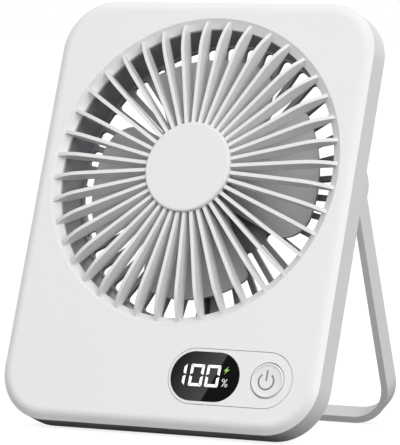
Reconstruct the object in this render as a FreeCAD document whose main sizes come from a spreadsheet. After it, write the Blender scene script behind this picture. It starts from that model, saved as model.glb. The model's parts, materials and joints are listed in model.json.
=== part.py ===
import FreeCAD, Part
import math
import os
import re
import Sketcher

from FreeCAD import Placement, Rotation, Vector

# Portable camping fan: a thin upright housing with a round grille, a digital
# charge display and power button, and a U-shaped stand hinged at its sides.
# Every piece is drawn in the housing's own frame: x to the right, y up along
# the face, z out of the face, with z = 0 on the face. Fan pieces share that
# frame, moved to the fan's axis. The assembly then leans back on its stand.

doc = FreeCAD.newDocument("camping_fan")
sheet = doc.addObject("Spreadsheet::Sheet", "Sizes")

SIZES = {
    "housing": {
        "body_width": 143.0,
        "body_height": 180.0,
        "body_corner": 21.5,
        "front_bevel": 3.0,
        "front_bevel_depth": 2.2,
        "front_round": 5.0,
        "rim_depth": 13.0,
        "rim_wall": 2.4,
        "face_wall": 2.2,
        "rear_depth": 20.0,
        "side_wall": 1.8,
        "back_wall": 2.2,
        "back_corner": 16.5,
        "back_round": 1.9,
        "flange_step": 0.4,
        "flange_thickness": 2.0,
        "lap_gap": 0.15,
        "lean_angle": 19.6,
    },
    "stand": {
        "stand_inset": 4.1,
        "stand_strip": 2.9,
        "stand_depth": 9.0,
        "stand_short": 1.8,
        "stand_corner": 18.3,
        "eye_radius": 8.05,
        "pivot_height": 18.1,
        "pivot_depth": 17.9,
        "nest_gap": 0.5,
        "nest_end_gap": 1.3,
        "eye_gap": 0.55,
        "pocket_wall": 1.6,
        "pin_radius": 2.0,
        "pin_head_radius": 3.1,
        "pin_head_depth": 0.8,
        "pin_gap": 0.05,
        "washer_radius": 4.6,
        "washer_thickness": 0.4,
    },
    "grille": {
        "ring_side_margin": 6.1,
        "ring_foot_margin": 24.6,
        "ring_top_margin": 7.4,
        "ring_gap": 0.03,
        "ring_width": 3.8,
        "ring_drop": 2.7,
        "ring_edge": 1.3,
        "ring_lip": 1.6,
        "rib_count": 40,
        "rib_thickness": 1.5,
        "rib_front": 3.6,
        "rib_back": 2.6,
        "rib_bow_length": 14.2,
        "rib_tip_inset": 1.2,
        "rib_root_radius": 16.0,
        "seat_radius": 18.2,
        "seat_back": 0.6,
        "cap_radius": 19.1,
        "cap_front": 5.05,
        "cap_thickness": 1.4,
        "cap_round": 1.0,
    },
    "frame": {
        "duct_front": 4.05,
        "duct_inset": 0.2,
        "duct_draft": 1.6,
        "duct_wall": 1.5,
        "frame_flange": 2.0,
        "frame_shoulder": 7.4,
        "frame_gap": 0.15,
        "slot_margin": 0.8,
        "slot_inner": 34.5,
        "slot_round": 1.8,
        "bar_count": 40,
        "bar_width": 2.2,
        "hub_plate_radius": 33.0,
        "hub_plate_depth": 20.6,
        "hub_plate_wall": 2.0,
        "lead_slot_index": 31,
        "ear_radius": 4.4,
        "ear_overhang": 3.4,
        "ear_back": 14.2,
        "ear_thickness": 1.8,
        "frame_screw_radius": 1.0,
        "frame_screw_head": 1.9,
        "frame_screw_length": 5.0,
    },
    "impeller": {
        "blade_count": 4,
        "blade_tip_gap": 8.5,
        "blade_thickness": 1.3,
        "blade_root_middle": 11.1,
        "blade_tip_middle": 13.4,
        "blade_root_twist": 0.100,
        "blade_tip_twist": 0.120,
        "blade_low_root": -47.0,
        "blade_low_tip": -33.0,
        "blade_high_root": 48.0,
        "blade_high_tip": 33.0,
        "blade_low_corner": 12.0,
        "blade_high_corner": 3.0,
        "hub_radius": 17.4,
        "hub_front": 4.3,
        "hub_back": 17.0,
        "hub_wall": 1.5,
        "hub_round": 1.0,
        "rest_turn": 2.0,
    },
    "motor": {
        "can_gap": 0.12,
        "can_wall": 0.9,
        "can_back": 16.4,
        "magnet_thickness": 1.5,
        "magnet_length": 8.0,
        "air_gap": 0.5,
        "core_thickness": 5.0,
        "core_back": 14.2,
        "tooth_count": 9,
        "tooth_width": 3.0,
        "tooth_root": 7.0,
        "tooth_shoe": 1.2,
        "coil_bulge": 1.0,
        "coil_side": 1.1,
        "shaft_radius": 1.5,
        "shaft_back": 19.4,
        "bush_wall": 1.9,
        "bush_front": 7.6,
        "bush_length": 10.0,
        "bush_gap": 0.03,
        "tube_wall": 1.1,
        "base_radius": 15.0,
        "base_thickness": 1.6,
        "base_screw_circle": 11.0,
        "base_screw_radius": 1.0,
        "base_screw_head": 2.0,
        "base_screw_sink": 1.2,
        "board_ring_outer": 13.2,
        "board_ring_thickness": 1.2,
    },
    "controls": {
        "panel_side_margin": 38.7,
        "panel_foot_margin": 21.7,
        "panel_length": 55.2,
        "panel_tall": 23.2,
        "panel_seam": 0.25,
        "panel_lip": 1.4,
        "panel_lip_wall": 1.2,
        "window_x": 21.7,
        "window_length": 30.8,
        "window_tall": 20.4,
        "window_thickness": 1.0,
        "window_ledge": 1.5,
        "window_gap": 0.1,
        "button_x": 49.4,
        "button_radius": 7.2,
        "button_gap": 0.25,
        "button_proud": 0.4,
        "button_lip": 1.2,
        "button_lip_wall": 0.7,
        "button_stem_radius": 1.6,
        "button_stem": 0.4,
        "post_reach": 30.3,
        "post_radius": 2.6,
        "board_depth": 6.6,
        "board_thickness": 1.2,
        "board_length": 66.0,
        "board_tall": 20.0,
        "module_length": 27.0,
        "module_tall": 15.0,
        "module_thickness": 2.9,
        "switch_side": 6.0,
        "switch_thickness": 1.4,
        "plunger_radius": 1.5,
        "plunger_below": 0.8,
        "board_screw_radius": 0.85,
        "board_screw_head": 2.0,
        "board_screw_length": 3.0,
    },
    "power": {
        "cell_board_gap": 1.0,
        "cell_foot_margin": 24.2,
        "cell_length": 48.0,
        "cell_tall": 30.0,
        "cell_thickness": 11.6,
        "cell_round": 2.5,
        "foam_thickness": 0.8,
        "foam_margin": 2.0,
        "charge_foot_margin": 29.0,
        "charge_board_length": 15.0,
        "charge_board_tall": 16.0,
        "charge_board_thickness": 1.2,
        "socket_length": 7.3,
        "socket_width": 8.94,
        "socket_height": 3.26,
        "socket_wall": 0.3,
        "socket_gap": 0.25,
        "socket_recess": 0.3,
        "tongue_thickness": 0.7,
        "tongue_width": 6.7,
        "wire_radius": 0.8,
    },
    "screws": {
        "screw_x": 54.5,
        "screw_top": 76.0,
        "screw_side_x": 57.0,
        "screw_low": 47.5,
        "screw_radius": 1.25,
        "screw_head_radius": 2.4,
        "screw_head_height": 1.6,
        "screw_sink": 2.0,
        "screw_grip": 5.0,
        "screw_gap": 0.1,
        "boss_radius": 3.4,
        "boss_front": 11.2,
        "pillar_radius": 3.0,
    },
}

# Sizes that follow others, each by a named margin.
FOLLOWING = {
    "stand_width": "body_width - 2 * stand_inset",
    "stand_reach": "body_height / 2 + pivot_height - stand_short",
    "ring_radius": "min(body_width / 2 - ring_side_margin; body_height / 2 - ring_foot_margin)",
    "fan_height": "body_height / 2 - ring_radius - ring_top_margin",
    "opening_radius": "ring_radius - ring_width",
    "rib_tip_radius": "ring_radius - rib_tip_inset",
    "rib_bend_radius": "rib_tip_radius - rib_bow_length",
    "duct_front_radius": "opening_radius - duct_inset",
    "duct_back_radius": "duct_front_radius - duct_draft",
    "frame_radius": "duct_back_radius + frame_flange",
    "slot_outer": "duct_back_radius - slot_margin",
    "ear_reach": "frame_radius + ear_overhang",
    "blade_tip_radius": "duct_back_radius - blade_tip_gap",
    "panel_x": "body_width / 2 - panel_side_margin",
    "panel_drop": "body_height / 2 - panel_foot_margin",
    "cell_x": "panel_x - (board_length + cell_length) / 2 - cell_board_gap",
    "cell_drop": "body_height / 2 - cell_foot_margin",
    "charge_drop": "body_height / 2 - charge_foot_margin",
}

row = 1
for group, group_sizes in SIZES.items():
    sheet.set("A%d" % row, group)
    row += 1
    for alias, value in group_sizes.items():
        sheet.set("A%d" % row, alias)
        sheet.set("B%d" % row, str(value))
        sheet.setAlias("B%d" % row, alias)
        row += 1
for alias, formula in FOLLOWING.items():
    sheet.set("A%d" % row, alias)
    sheet.set("B%d" % row, "=" + formula)
    sheet.setAlias("B%d" % row, alias)
    row += 1
doc.recompute()

ALIASES = {alias for group_sizes in SIZES.values() for alias in group_sizes} | set(FOLLOWING)


def in_sheet(expression):
    """The expression with each size's name pointed at its cell."""
    return re.sub(r"[a-z][a-z_]*", lambda word: "Sizes." + word.group() if word.group() in ALIASES
                  else word.group(), str(expression))


def value(expression):
    """The number that an expression of the sheet's sizes gives."""
    return float(sheet.evalExpression(in_sheet(expression)))


# Places that several pieces share, each written from the sheet's sizes.
BACK_HALF_WIDTH = "(stand_width / 2 - stand_strip - nest_gap)"
BACK_HALF_HEIGHT = "(stand_reach - stand_strip - pivot_height - nest_end_gap)"
FLANGE_BACK = "(rim_depth - flange_step)"
FLANGE_FRONT = "(rim_depth - flange_step - flange_thickness)"
FLOOR = "(rear_depth - back_wall)"
PILLAR_END = "(boss_front - screw_gap)"
HUB_BORE = "(hub_radius - hub_wall)"
CAN_RADIUS = "(hub_radius - hub_wall - can_gap)"
CAN_FRONT = "(hub_front + hub_wall + can_gap)"
MAGNET_RADIUS = "(hub_radius - hub_wall - can_gap - can_wall)"
CORE_RADIUS = "(hub_radius - hub_wall - can_gap - can_wall - magnet_thickness - air_gap)"
TUBE_BORE = "(shaft_radius + bush_gap + bush_wall)"
TUBE_RADIUS = "(shaft_radius + bush_gap + bush_wall + tube_wall)"
BASE_FRONT = "(hub_plate_depth - base_thickness)"
PANEL_BACK = "(face_wall + panel_lip_wall)"
BUTTON_LIP_FRONT = "(face_wall + panel_lip_wall + button_gap / 2)"
STEM_END = "(face_wall + panel_lip_wall + button_gap / 2 + button_lip_wall + button_stem)"
SWITCH_FRONT = "(board_depth - switch_thickness)"
CELL_BACK = "(rear_depth - back_wall - foam_thickness)"
SCREW_SPOTS = [("screw_x", "screw_top"), ("-screw_x", "screw_top"),
               ("screw_side_x", "-screw_low"), ("-screw_side_x", "-screw_low")]


def bind(owner, name, expression):
    owner.setExpression(name, in_sheet(expression))


def new_body(label):
    body = doc.addObject("PartDesign::Body", label)
    body.Label = label
    return body


def new_sketch(body, role, depth="0"):
    """A sketch on one of the body's own planes, moved along its normal."""
    sketch = body.newObject("Sketcher::SketchObject", body.Name + "_sketch")
    plane = [feature for feature in body.Origin.OriginFeatures if feature.Role == role][0]
    sketch.AttachmentSupport = [(plane, "")]
    sketch.MapMode = "FlatFace"
    if depth != "0":
        bind(sketch, "AttachmentOffset.Base.z", depth)
    return sketch


def pin_down(sketch, element, point, x, y):
    """Places a point of the sketch from the origin, on an axis where a coordinate is 0."""
    if x == "0":
        sketch.addConstraint(Sketcher.Constraint("PointOnObject", element, point, -2))
    else:
        number = sketch.addConstraint(Sketcher.Constraint("DistanceX", -1, 1, element, point, value(x)))
        bind(sketch, "Constraints[%d]" % number, x)
    if y == "0":
        sketch.addConstraint(Sketcher.Constraint("PointOnObject", element, point, -1))
    else:
        number = sketch.addConstraint(Sketcher.Constraint("DistanceY", -1, 1, element, point, value(y)))
        bind(sketch, "Constraints[%d]" % number, y)


def add_circle(sketch, x, y, radius):
    middle = Vector(value(x), value(y), 0)
    circle = sketch.addGeometry(Part.Circle(middle, Vector(0, 0, 1), value(radius)))
    number = sketch.addConstraint(Sketcher.Constraint("Radius", circle, value(radius)))
    bind(sketch, "Constraints[%d]" % number, radius)
    pin_down(sketch, circle, 3, x, y)


def add_polygon(sketch, corners):
    points = [Vector(value(x), value(y), 0) for x, y in corners]
    first = sketch.GeometryCount
    total = len(points)
    for index in range(total):
        sketch.addGeometry(Part.LineSegment(points[index], points[(index + 1) % total]))
    for index in range(total):
        following = first + (index + 1) % total
        sketch.addConstraint(Sketcher.Constraint("Coincident", first + index, 2, following, 1))
    for index, (x, y) in enumerate(corners):
        pin_down(sketch, first + index, 1, x, y)


def add_box(sketch, x_low, x_high, y_low, y_high):
    add_polygon(sketch, [(x_low, y_low), (x_high, y_low), (x_high, y_high), (x_low, y_high)])


def add_rounded_box(sketch, half_width, half_height, corner, y="0"):
    """A rectangle about (0, y) with rounded corners, of tangent lines and arcs."""
    across = value(half_width) - value(corner)
    up = value(half_height) - value(corner)
    radius = value(corner)
    middle = value(y)
    first = sketch.GeometryCount
    signs = [(1, 1), (-1, 1), (-1, -1), (1, -1)]
    for quarter, (right, top) in enumerate(signs):
        centre = Vector(right * across, middle + top * up, 0)
        start = quarter * math.pi / 2
        circle = Part.Circle(centre, Vector(0, 0, 1), radius)
        sketch.addGeometry(Part.ArcOfCircle(circle, start, start + math.pi / 2))
        arm = Vector(math.cos(start + math.pi / 2), math.sin(start + math.pi / 2), 0) * radius
        next_right, next_top = signs[(quarter + 1) % 4]
        next_centre = Vector(next_right * across, middle + next_top * up, 0)
        sketch.addGeometry(Part.LineSegment(centre + arm, next_centre + arm))
    for quarter in range(4):
        arc = first + 2 * quarter
        line = arc + 1
        next_arc = first + (2 * quarter + 2) % 8
        sketch.addConstraint(Sketcher.Constraint("Tangent", arc, 2, line, 1))
        sketch.addConstraint(Sketcher.Constraint("Tangent", line, 2, next_arc, 1))
        sketch.addConstraint(Sketcher.Constraint("Vertical" if quarter % 2 else "Horizontal", line))
    for quarter in range(1, 4):
        sketch.addConstraint(Sketcher.Constraint("Equal", first, first + 2 * quarter))
    number = sketch.addConstraint(Sketcher.Constraint("Radius", first, radius))
    bind(sketch, "Constraints[%d]" % number, corner)
    across_words = "((%s) - (%s))" % (half_width, corner)
    up_words = "((%s) - (%s))" % (half_height, corner)
    pin_down(sketch, first, 3, across_words, "%s + %s" % (y, up_words))
    pin_down(sketch, first + 4, 3, "-" + across_words, "%s - %s" % (y, up_words))


def add_pill(sketch, x, y, length, tall):
    """A slot shape about (x, y): two half circles joined by lines along x."""
    radius = value(tall) / 2
    reach = value(length) / 2 - radius
    middle_x = value(x)
    middle_y = value(y)
    up = Vector(0, 0, 1)
    right = Vector(middle_x + reach, middle_y, 0)
    left = Vector(middle_x - reach, middle_y, 0)
    lift = Vector(0, radius, 0)
    first = sketch.GeometryCount
    sketch.addGeometry(Part.ArcOfCircle(Part.Circle(right, up, radius), -math.pi / 2, math.pi / 2))
    sketch.addGeometry(Part.LineSegment(right + lift, left + lift))
    sketch.addGeometry(Part.ArcOfCircle(Part.Circle(left, up, radius), math.pi / 2, 3 * math.pi / 2))
    sketch.addGeometry(Part.LineSegment(left - lift, right - lift))
    for index in range(4):
        following = first + (index + 1) % 4
        sketch.addConstraint(Sketcher.Constraint("Tangent", first + index, 2, following, 1))
    sketch.addConstraint(Sketcher.Constraint("Equal", first, first + 2))
    number = sketch.addConstraint(Sketcher.Constraint("Radius", first, radius))
    bind(sketch, "Constraints[%d]" % number, "(%s) / 2" % tall)
    reach_words = "((%s) / 2 - (%s) / 2)" % (length, tall)
    pin_down(sketch, first, 3, "%s + %s" % (x, reach_words), y)
    pin_down(sketch, first + 2, 3, "%s - %s" % (x, reach_words), y)


def add_tapered_slot(sketch, half_angle, offset, inner, outer, corner):
    """A slot along x whose sides run at plus and minus the half angle, each a fixed offset
    inside that angle's line through the origin. Its inner end is round, its outer corners are."""
    lean_in = math.radians(value(half_angle))
    gap = value(offset)
    end = value(outer)
    small = value(corner)

    def on_side(along, side):
        return Vector(along, side * (along * math.tan(lean_in) - gap / math.cos(lean_in)), 0)

    inner_middle = Vector((value(inner) - gap) / (1 - math.sin(lean_in)), 0, 0)
    inner_radius = inner_middle.x - value(inner)
    inner_touch = inner_middle.x - inner_radius * math.sin(lean_in)
    corner_x = end - small
    corner_y = corner_x * math.tan(lean_in) - (gap + small) / math.cos(lean_in)
    corner_touch = corner_x - small * math.sin(lean_in)
    up = Vector(0, 0, 1)
    first = sketch.GeometryCount
    sketch.addGeometry(Part.LineSegment(Vector(end, -corner_y, 0), Vector(end, corner_y, 0)))
    top = Part.Circle(Vector(corner_x, corner_y, 0), up, small)
    sketch.addGeometry(Part.ArcOfCircle(top, 0, math.pi / 2 + lean_in))
    sketch.addGeometry(Part.LineSegment(on_side(corner_touch, 1), on_side(inner_touch, 1)))
    back = Part.Circle(inner_middle, up, inner_radius)
    sketch.addGeometry(Part.ArcOfCircle(back, math.pi / 2 + lean_in, 3 * math.pi / 2 - lean_in))
    sketch.addGeometry(Part.LineSegment(on_side(inner_touch, -1), on_side(corner_touch, -1)))
    bottom = Part.Circle(Vector(corner_x, -corner_y, 0), up, small)
    sketch.addGeometry(Part.ArcOfCircle(bottom, 3 * math.pi / 2 - lean_in, 2 * math.pi))
    for index in range(6):
        following = first + (index + 1) % 6
        sketch.addConstraint(Sketcher.Constraint("Tangent", first + index, 2, following, 1))
    sketch.addConstraint(Sketcher.Constraint("Vertical", first))
    number = sketch.addConstraint(Sketcher.Constraint("DistanceX", -1, 1, first, 2, end))
    bind(sketch, "Constraints[%d]" % number, outer)
    number = sketch.addConstraint(Sketcher.Constraint("Radius", first + 1, small))
    bind(sketch, "Constraints[%d]" % number, corner)
    sketch.addConstraint(Sketcher.Constraint("Equal", first + 1, first + 5))
    for side in (first + 2, first + 4):
        number = sketch.addConstraint(Sketcher.Constraint("Distance", -1, 1, side, gap))
        bind(sketch, "Constraints[%d]" % number, offset)
    number = sketch.addConstraint(Sketcher.Constraint("Angle", first + 4, 1, first + 2, 2, 2 * lean_in))
    bind(sketch, "Constraints[%d]" % number, "2 * (%s)" % half_angle)
    sketch.addConstraint(Sketcher.Constraint("PointOnObject", first + 3, 3, -1))
    number = sketch.addConstraint(Sketcher.Constraint("DistanceX", -1, 1, first + 3, 3, inner_middle.x))
    bind(sketch, "Constraints[%d]" % number, "(%s - (%s)) / (1 - sin(%s))" % (inner, offset, half_angle))


def pad(body, sketch, length, forward=True, midplane=False):
    feature = body.newObject("PartDesign::Pad", body.Name + "_pad")
    feature.Profile = sketch
    bind(feature, "Length", length)
    feature.Reversed = not forward
    feature.Midplane = midplane
    return feature


def pocket(body, sketch, length, forward=False):
    """Cuts along the sketch's normal when forward, and against it otherwise."""
    feature = body.newObject("PartDesign::Pocket", body.Name + "_pocket")
    feature.Profile = sketch
    bind(feature, "Length", length)
    feature.Reversed = forward
    return feature


def revolve(body, profile):
    """Turns a profile of (radius, z) corners about the body's z axis."""
    sketch = new_sketch(body, "XZ_Plane")
    add_polygon(sketch, profile)
    feature = body.newObject("PartDesign::Revolution", body.Name + "_turn")
    feature.Profile = sketch
    feature.ReferenceAxis = (sketch, ["V_Axis"])
    feature.Angle = 360
    return feature


def polar(body, feature, count):
    """Repeats a feature evenly about the body's z axis."""
    pattern = body.newObject("PartDesign::PolarPattern", body.Name + "_pattern")
    pattern.Originals = [feature]
    axis = [item for item in body.Origin.OriginFeatures if item.Role == "Z_Axis"][0]
    pattern.Axis = (axis, [""])
    pattern.Angle = 360
    bind(pattern, "Occurrences", count)
    body.Tip = pattern
    return pattern


def fillet(body, base, radius, chosen):
    """Rounds the edges of the base feature for which chosen(edge) is true."""
    doc.recompute()
    names = ["Edge%d" % (index + 1) for index, edge in enumerate(base.Shape.Edges) if chosen(edge)]
    feature = body.newObject("PartDesign::Fillet", body.Name + "_fillet")
    feature.Base = (base, names)
    bind(feature, "Radius", radius)
    return feature


def chamfer(body, base, first, second, chosen):
    """Bevels the chosen edges of the base feature by two unequal distances."""
    doc.recompute()
    names = ["Edge%d" % (index + 1) for index, edge in enumerate(base.Shape.Edges) if chosen(edge)]
    feature = body.newObject("PartDesign::Chamfer", body.Name + "_chamfer")
    feature.Base = (base, names)
    feature.ChamferType = "Two distances"
    bind(feature, "Size", first)
    bind(feature, "Size2", second)
    return feature


def at_depth(edge, depth):
    return all(abs(vertex.Point.z - depth) < 1e-4 for vertex in edge.Vertexes) and \
        abs(edge.BoundBox.ZLength) < 1e-3


subparts = []


def keep(piece, place):
    """Adds a finished sub-part at its place in the assembly."""
    subparts.append((piece, place))


def free_piece(label, shape, place):
    """A sub-part whose shape is made from Part's own functions."""
    piece = doc.addObject("Part::Feature", label)
    piece.Label = label
    piece.Shape = shape
    keep(piece, place)
    return piece


# Where the pieces stand: the housing leans back on its rear lower edge, and
# the stand opens until its lower front edge meets the same surface.
lean = value("lean_angle")
lean_sine = math.sin(math.radians(lean))
lean_cosine = math.cos(math.radians(lean))
edge_drop = value("rim_depth") * lean_sine + value("body_height") / 2 * lean_cosine
pivot_up = value("pivot_height") * lean_cosine - value("pivot_depth") * lean_sine + edge_drop
pivot_back = value("pivot_height") * lean_sine + value("pivot_depth") * lean_cosine
foot_span = math.hypot(value("stand_reach"), value("stand_depth") / 2)
foot_angle = math.degrees(math.atan2(value("stand_depth") / 2, value("stand_reach")))
stand_angle = foot_angle + math.degrees(math.acos(pivot_up / foot_span))
open_angle = stand_angle + lean
bevel_angle = math.atan2(value("front_bevel_depth"), value("front_bevel"))
round_reach = value("front_bevel") + value("front_round") * math.tan(bevel_angle / 2)
round_middle = value("body_height") / 2 - round_reach
front_most = value("front_round") * lean_cosine - round_middle * lean_sine - value("front_round")
back_most = pivot_back + value("stand_reach") * math.sin(math.radians(stand_angle)) \
    + value("stand_depth") / 2 * math.cos(math.radians(stand_angle))
middle_shift = -(front_most + back_most) / 2

BODY_PLACE = Placement(Vector(0, middle_shift, edge_drop), Rotation(Vector(1, 0, 0), 90 - lean))
FAN_PLACE = BODY_PLACE * Placement(Vector(0, value("fan_height"), 0), Rotation())
ROTOR_PLACE = FAN_PLACE * Placement(Vector(0, 0, 0), Rotation(Vector(0, 0, 1), value("rest_turn")))
PIVOT_PLACE = BODY_PLACE * Placement(Vector(0, value("pivot_height"), -value("pivot_depth")), Rotation())
STAND_PLACE = PIVOT_PLACE * Placement(Vector(0, 0, 0), Rotation(Vector(1, 0, 0), open_angle))


# Front shell: the moulded face with its deep rim, open at the back.
front_shell = new_body("front_shell")
outline = new_sketch(front_shell, "XY_Plane")
add_rounded_box(outline, "body_width / 2", "body_height / 2", "body_corner")
block = pad(front_shell, outline, "rim_depth", forward=False)
bevelled = chamfer(front_shell, block, "front_bevel_depth", "front_bevel", lambda edge: at_depth(edge, 0))
fillet(front_shell, bevelled, "front_round", lambda edge: at_depth(edge, 0))
hollow = new_sketch(front_shell, "XY_Plane", "-face_wall")
add_rounded_box(hollow, "body_width / 2 - rim_wall", "body_height / 2 - rim_wall", "body_corner - rim_wall")
pocket(front_shell, hollow, "rim_depth")
openings = new_sketch(front_shell, "XY_Plane")
add_circle(openings, "0", "fan_height", "ring_radius + ring_gap")
add_pill(openings, "panel_x", "-panel_drop", "panel_length", "panel_tall")
pocket(front_shell, openings, "face_wall")
pillars = new_sketch(front_shell, "XY_Plane", "-face_wall")
for spot_x, spot_y in SCREW_SPOTS:
    add_circle(pillars, spot_x, spot_y, "pillar_radius")
pad(front_shell, pillars, PILLAR_END + " - face_wall", forward=False)
pilots = new_sketch(front_shell, "XY_Plane", "-" + PILLAR_END)
for spot_x, spot_y in SCREW_SPOTS:
    add_circle(pilots, spot_x, spot_y, "screw_radius + screw_gap / 2")
pocket(front_shell, pilots, PILLAR_END + " - face_wall - screw_gap", forward=True)
CHARGE_BOARD_FRONT = "(%s - charge_board_thickness)" % FLANGE_FRONT
SOCKET_MIDDLE = "(%s - socket_height / 2)" % CHARGE_BOARD_FRONT
plug_hole = new_sketch(front_shell, "YZ_Plane", "-body_width / 2")
add_pill(plug_hole, "-charge_drop", "-" + SOCKET_MIDDLE, "socket_width + 2 * socket_gap",
         "socket_height + 2 * socket_gap")
pocket(front_shell, plug_hole, "rim_wall + socket_gap", forward=True)
keep(front_shell, BODY_PLACE)


# Rear shell: the inset back with the flange that lies inside the rim, the two
# pockets that the stand's eyes turn in, and the bosses for the screws.
rear_shell = new_body("rear_shell")
outline = new_sketch(rear_shell, "XY_Plane", "-rear_depth")
add_rounded_box(outline, BACK_HALF_WIDTH, BACK_HALF_HEIGHT, "back_corner")
block = pad(rear_shell, outline, "rear_depth - " + FLANGE_FRONT)
fillet(rear_shell, block, "back_round", lambda edge: at_depth(edge, -value("rear_depth")))
flange = new_sketch(rear_shell, "XY_Plane", "-" + FLANGE_BACK)
add_rounded_box(flange, "body_width / 2 - rim_wall - lap_gap", "body_height / 2 - rim_wall - lap_gap",
                "body_corner - rim_wall - lap_gap")
pad(rear_shell, flange, "flange_thickness")
POCKET_FLOOR = "(pivot_depth - eye_radius - eye_gap)"
POCKET_EDGE = "(body_width / 2 - rim_wall - lap_gap)"
cheeks = new_sketch(rear_shell, "XY_Plane", "-" + FLANGE_BACK)
for sign in ("", "-"):
    add_box(cheeks, sign + "(%s - side_wall)" % BACK_HALF_WIDTH, sign + POCKET_EDGE,
            "pivot_height - eye_radius - eye_gap - pocket_wall",
            "pivot_height + eye_radius + eye_gap + pocket_wall")
pad(rear_shell, cheeks, "%s - %s + pocket_wall" % (FLANGE_BACK, POCKET_FLOOR))
hollow = new_sketch(rear_shell, "XY_Plane", "0")
add_rounded_box(hollow, BACK_HALF_WIDTH + " - side_wall", BACK_HALF_HEIGHT + " - side_wall",
                "back_corner - side_wall")
pocket(rear_shell, hollow, FLOOR)
eye_pockets = new_sketch(rear_shell, "XY_Plane", "-" + POCKET_FLOOR)
for sign in ("", "-"):
    add_box(eye_pockets, sign + BACK_HALF_WIDTH, sign + "(body_width / 2)",
            "pivot_height - eye_radius - eye_gap", "pivot_height + eye_radius + eye_gap")
pocket(rear_shell, eye_pockets, "rear_depth")
bosses = new_sketch(rear_shell, "XY_Plane", "-rear_depth + back_wall / 2")
for spot_x, spot_y in SCREW_SPOTS:
    add_circle(bosses, spot_x, spot_y, "boss_radius")
pad(rear_shell, bosses, "rear_depth - back_wall / 2 - boss_front")
EAR_OFFSET = "(ear_reach * cos(45))"
EAR_SPOTS = [(sign_x + EAR_OFFSET, "fan_height %s %s" % (sign_y, EAR_OFFSET))
             for sign_x in ("", "-") for sign_y in ("+", "-")]
ear_bosses = new_sketch(rear_shell, "XY_Plane", "-rear_depth + back_wall / 2")
for spot_x, spot_y in EAR_SPOTS:
    add_circle(ear_bosses, spot_x, spot_y, "boss_radius - screw_gap")
pad(rear_shell, ear_bosses, "rear_depth - back_wall / 2 - ear_back")
ear_pilots = new_sketch(rear_shell, "XY_Plane", "-ear_back")
for spot_x, spot_y in EAR_SPOTS:
    add_circle(ear_pilots, spot_x, spot_y, "frame_screw_radius + screw_gap / 2")
pocket(rear_shell, ear_pilots, "frame_screw_length - ear_thickness + screw_gap")
through = new_sketch(rear_shell, "XY_Plane", "-boss_front")
for spot_x, spot_y in SCREW_SPOTS:
    add_circle(through, spot_x, spot_y, "screw_radius + screw_gap")
pocket(rear_shell, through, "rear_depth")
sinks = new_sketch(rear_shell, "XY_Plane", "-rear_depth")
for spot_x, spot_y in SCREW_SPOTS:
    add_circle(sinks, spot_x, spot_y, "screw_head_radius + 2 * screw_gap")
pocket(rear_shell, sinks, "screw_sink + screw_head_height", forward=True)
fan_hole = new_sketch(rear_shell, "XY_Plane", "-%s + back_wall" % FLOOR)
add_circle(fan_hole, "0", "fan_height", "frame_radius + frame_gap")
pocket(rear_shell, fan_hole, "rear_depth")
for sign in (1, -1):
    words = "" if sign > 0 else "-"
    pin_hole = new_sketch(rear_shell, "YZ_Plane", words + "(%s - side_wall)" % BACK_HALF_WIDTH)
    add_circle(pin_hole, "pivot_height", "-pivot_depth", "pin_radius + pin_gap")
    pocket(rear_shell, pin_hole, "side_wall + nest_gap", forward=sign > 0)
    head_sink = new_sketch(rear_shell, "YZ_Plane", words + "(%s - side_wall)" % BACK_HALF_WIDTH)
    add_circle(head_sink, "pivot_height", "-pivot_depth", "pin_head_radius + screw_gap")
    pocket(rear_shell, head_sink, "pin_head_depth + pin_gap", forward=sign > 0)
keep(rear_shell, BODY_PLACE)


# Front grille: the sloping ring and forty thin upright ribs that rise from it
# to the round seat in the middle, moulded as one piece.
front_grille = new_body("front_grille")
revolve(front_grille, [
    ("ring_radius", "0"),
    ("ring_radius", "-face_wall"),
    ("ring_radius + ring_lip", "-face_wall"),
    ("ring_radius + ring_lip", "-ring_drop - ring_edge"),
    ("opening_radius", "-ring_drop - ring_edge"),
    ("opening_radius", "-ring_drop"),
])
seat = new_sketch(front_grille, "XY_Plane", "seat_back")
add_circle(seat, "0", "0", "seat_radius")
pad(front_grille, seat, "cap_front - cap_thickness - seat_back")
rib = new_sketch(front_grille, "XZ_Plane")
RIB_FALL = "(rib_front + (ring_radius - rib_tip_radius) * ring_drop / (ring_radius - opening_radius))"
RIB_RUN = "(rib_tip_radius - rib_bend_radius)"
RIB_BEND = "((%s ^ 2 + %s ^ 2) / (2 * %s))" % (RIB_RUN, RIB_FALL, RIB_FALL)
bend_start = Vector(value("rib_bend_radius"), value("rib_front"), 0)
bend_middle = bend_start - Vector(0, value(RIB_BEND), 0)
tip = Vector(value("rib_tip_radius"), value("rib_front - " + RIB_FALL), 0)
tip_angle = math.atan2(tip.y - bend_middle.y, tip.x - bend_middle.x)
root = Vector(value("rib_root_radius"), value("rib_front"), 0)
root_back = Vector(value("rib_root_radius"), -value("rib_back"), 0)
tip_back = Vector(value("rib_tip_radius"), -value("ring_drop + ring_edge / 2"), 0)
bend = Part.Circle(bend_middle, Vector(0, 0, 1), value(RIB_BEND))
rib.addGeometry(Part.ArcOfCircle(bend, tip_angle, math.pi / 2))
rib.addGeometry(Part.LineSegment(bend_start, root))
rib.addGeometry(Part.LineSegment(root, root_back))
rib.addGeometry(Part.LineSegment(root_back, tip_back))
rib.addGeometry(Part.LineSegment(tip_back, tip))
for index, following, start_point in ((0, 1, 1), (1, 2, 1), (2, 3, 1), (3, 4, 1)):
    rib.addConstraint(Sketcher.Constraint("Coincident", index, 2, following, start_point))
rib.addConstraint(Sketcher.Constraint("Coincident", 4, 2, 0, 1))
pin_down(rib, 1, 1, "rib_bend_radius", "rib_front")
pin_down(rib, 2, 1, "rib_root_radius", "rib_front")
pin_down(rib, 3, 1, "rib_root_radius", "-rib_back")
pin_down(rib, 4, 1, "rib_tip_radius", "-ring_drop - ring_edge / 2")
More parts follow.
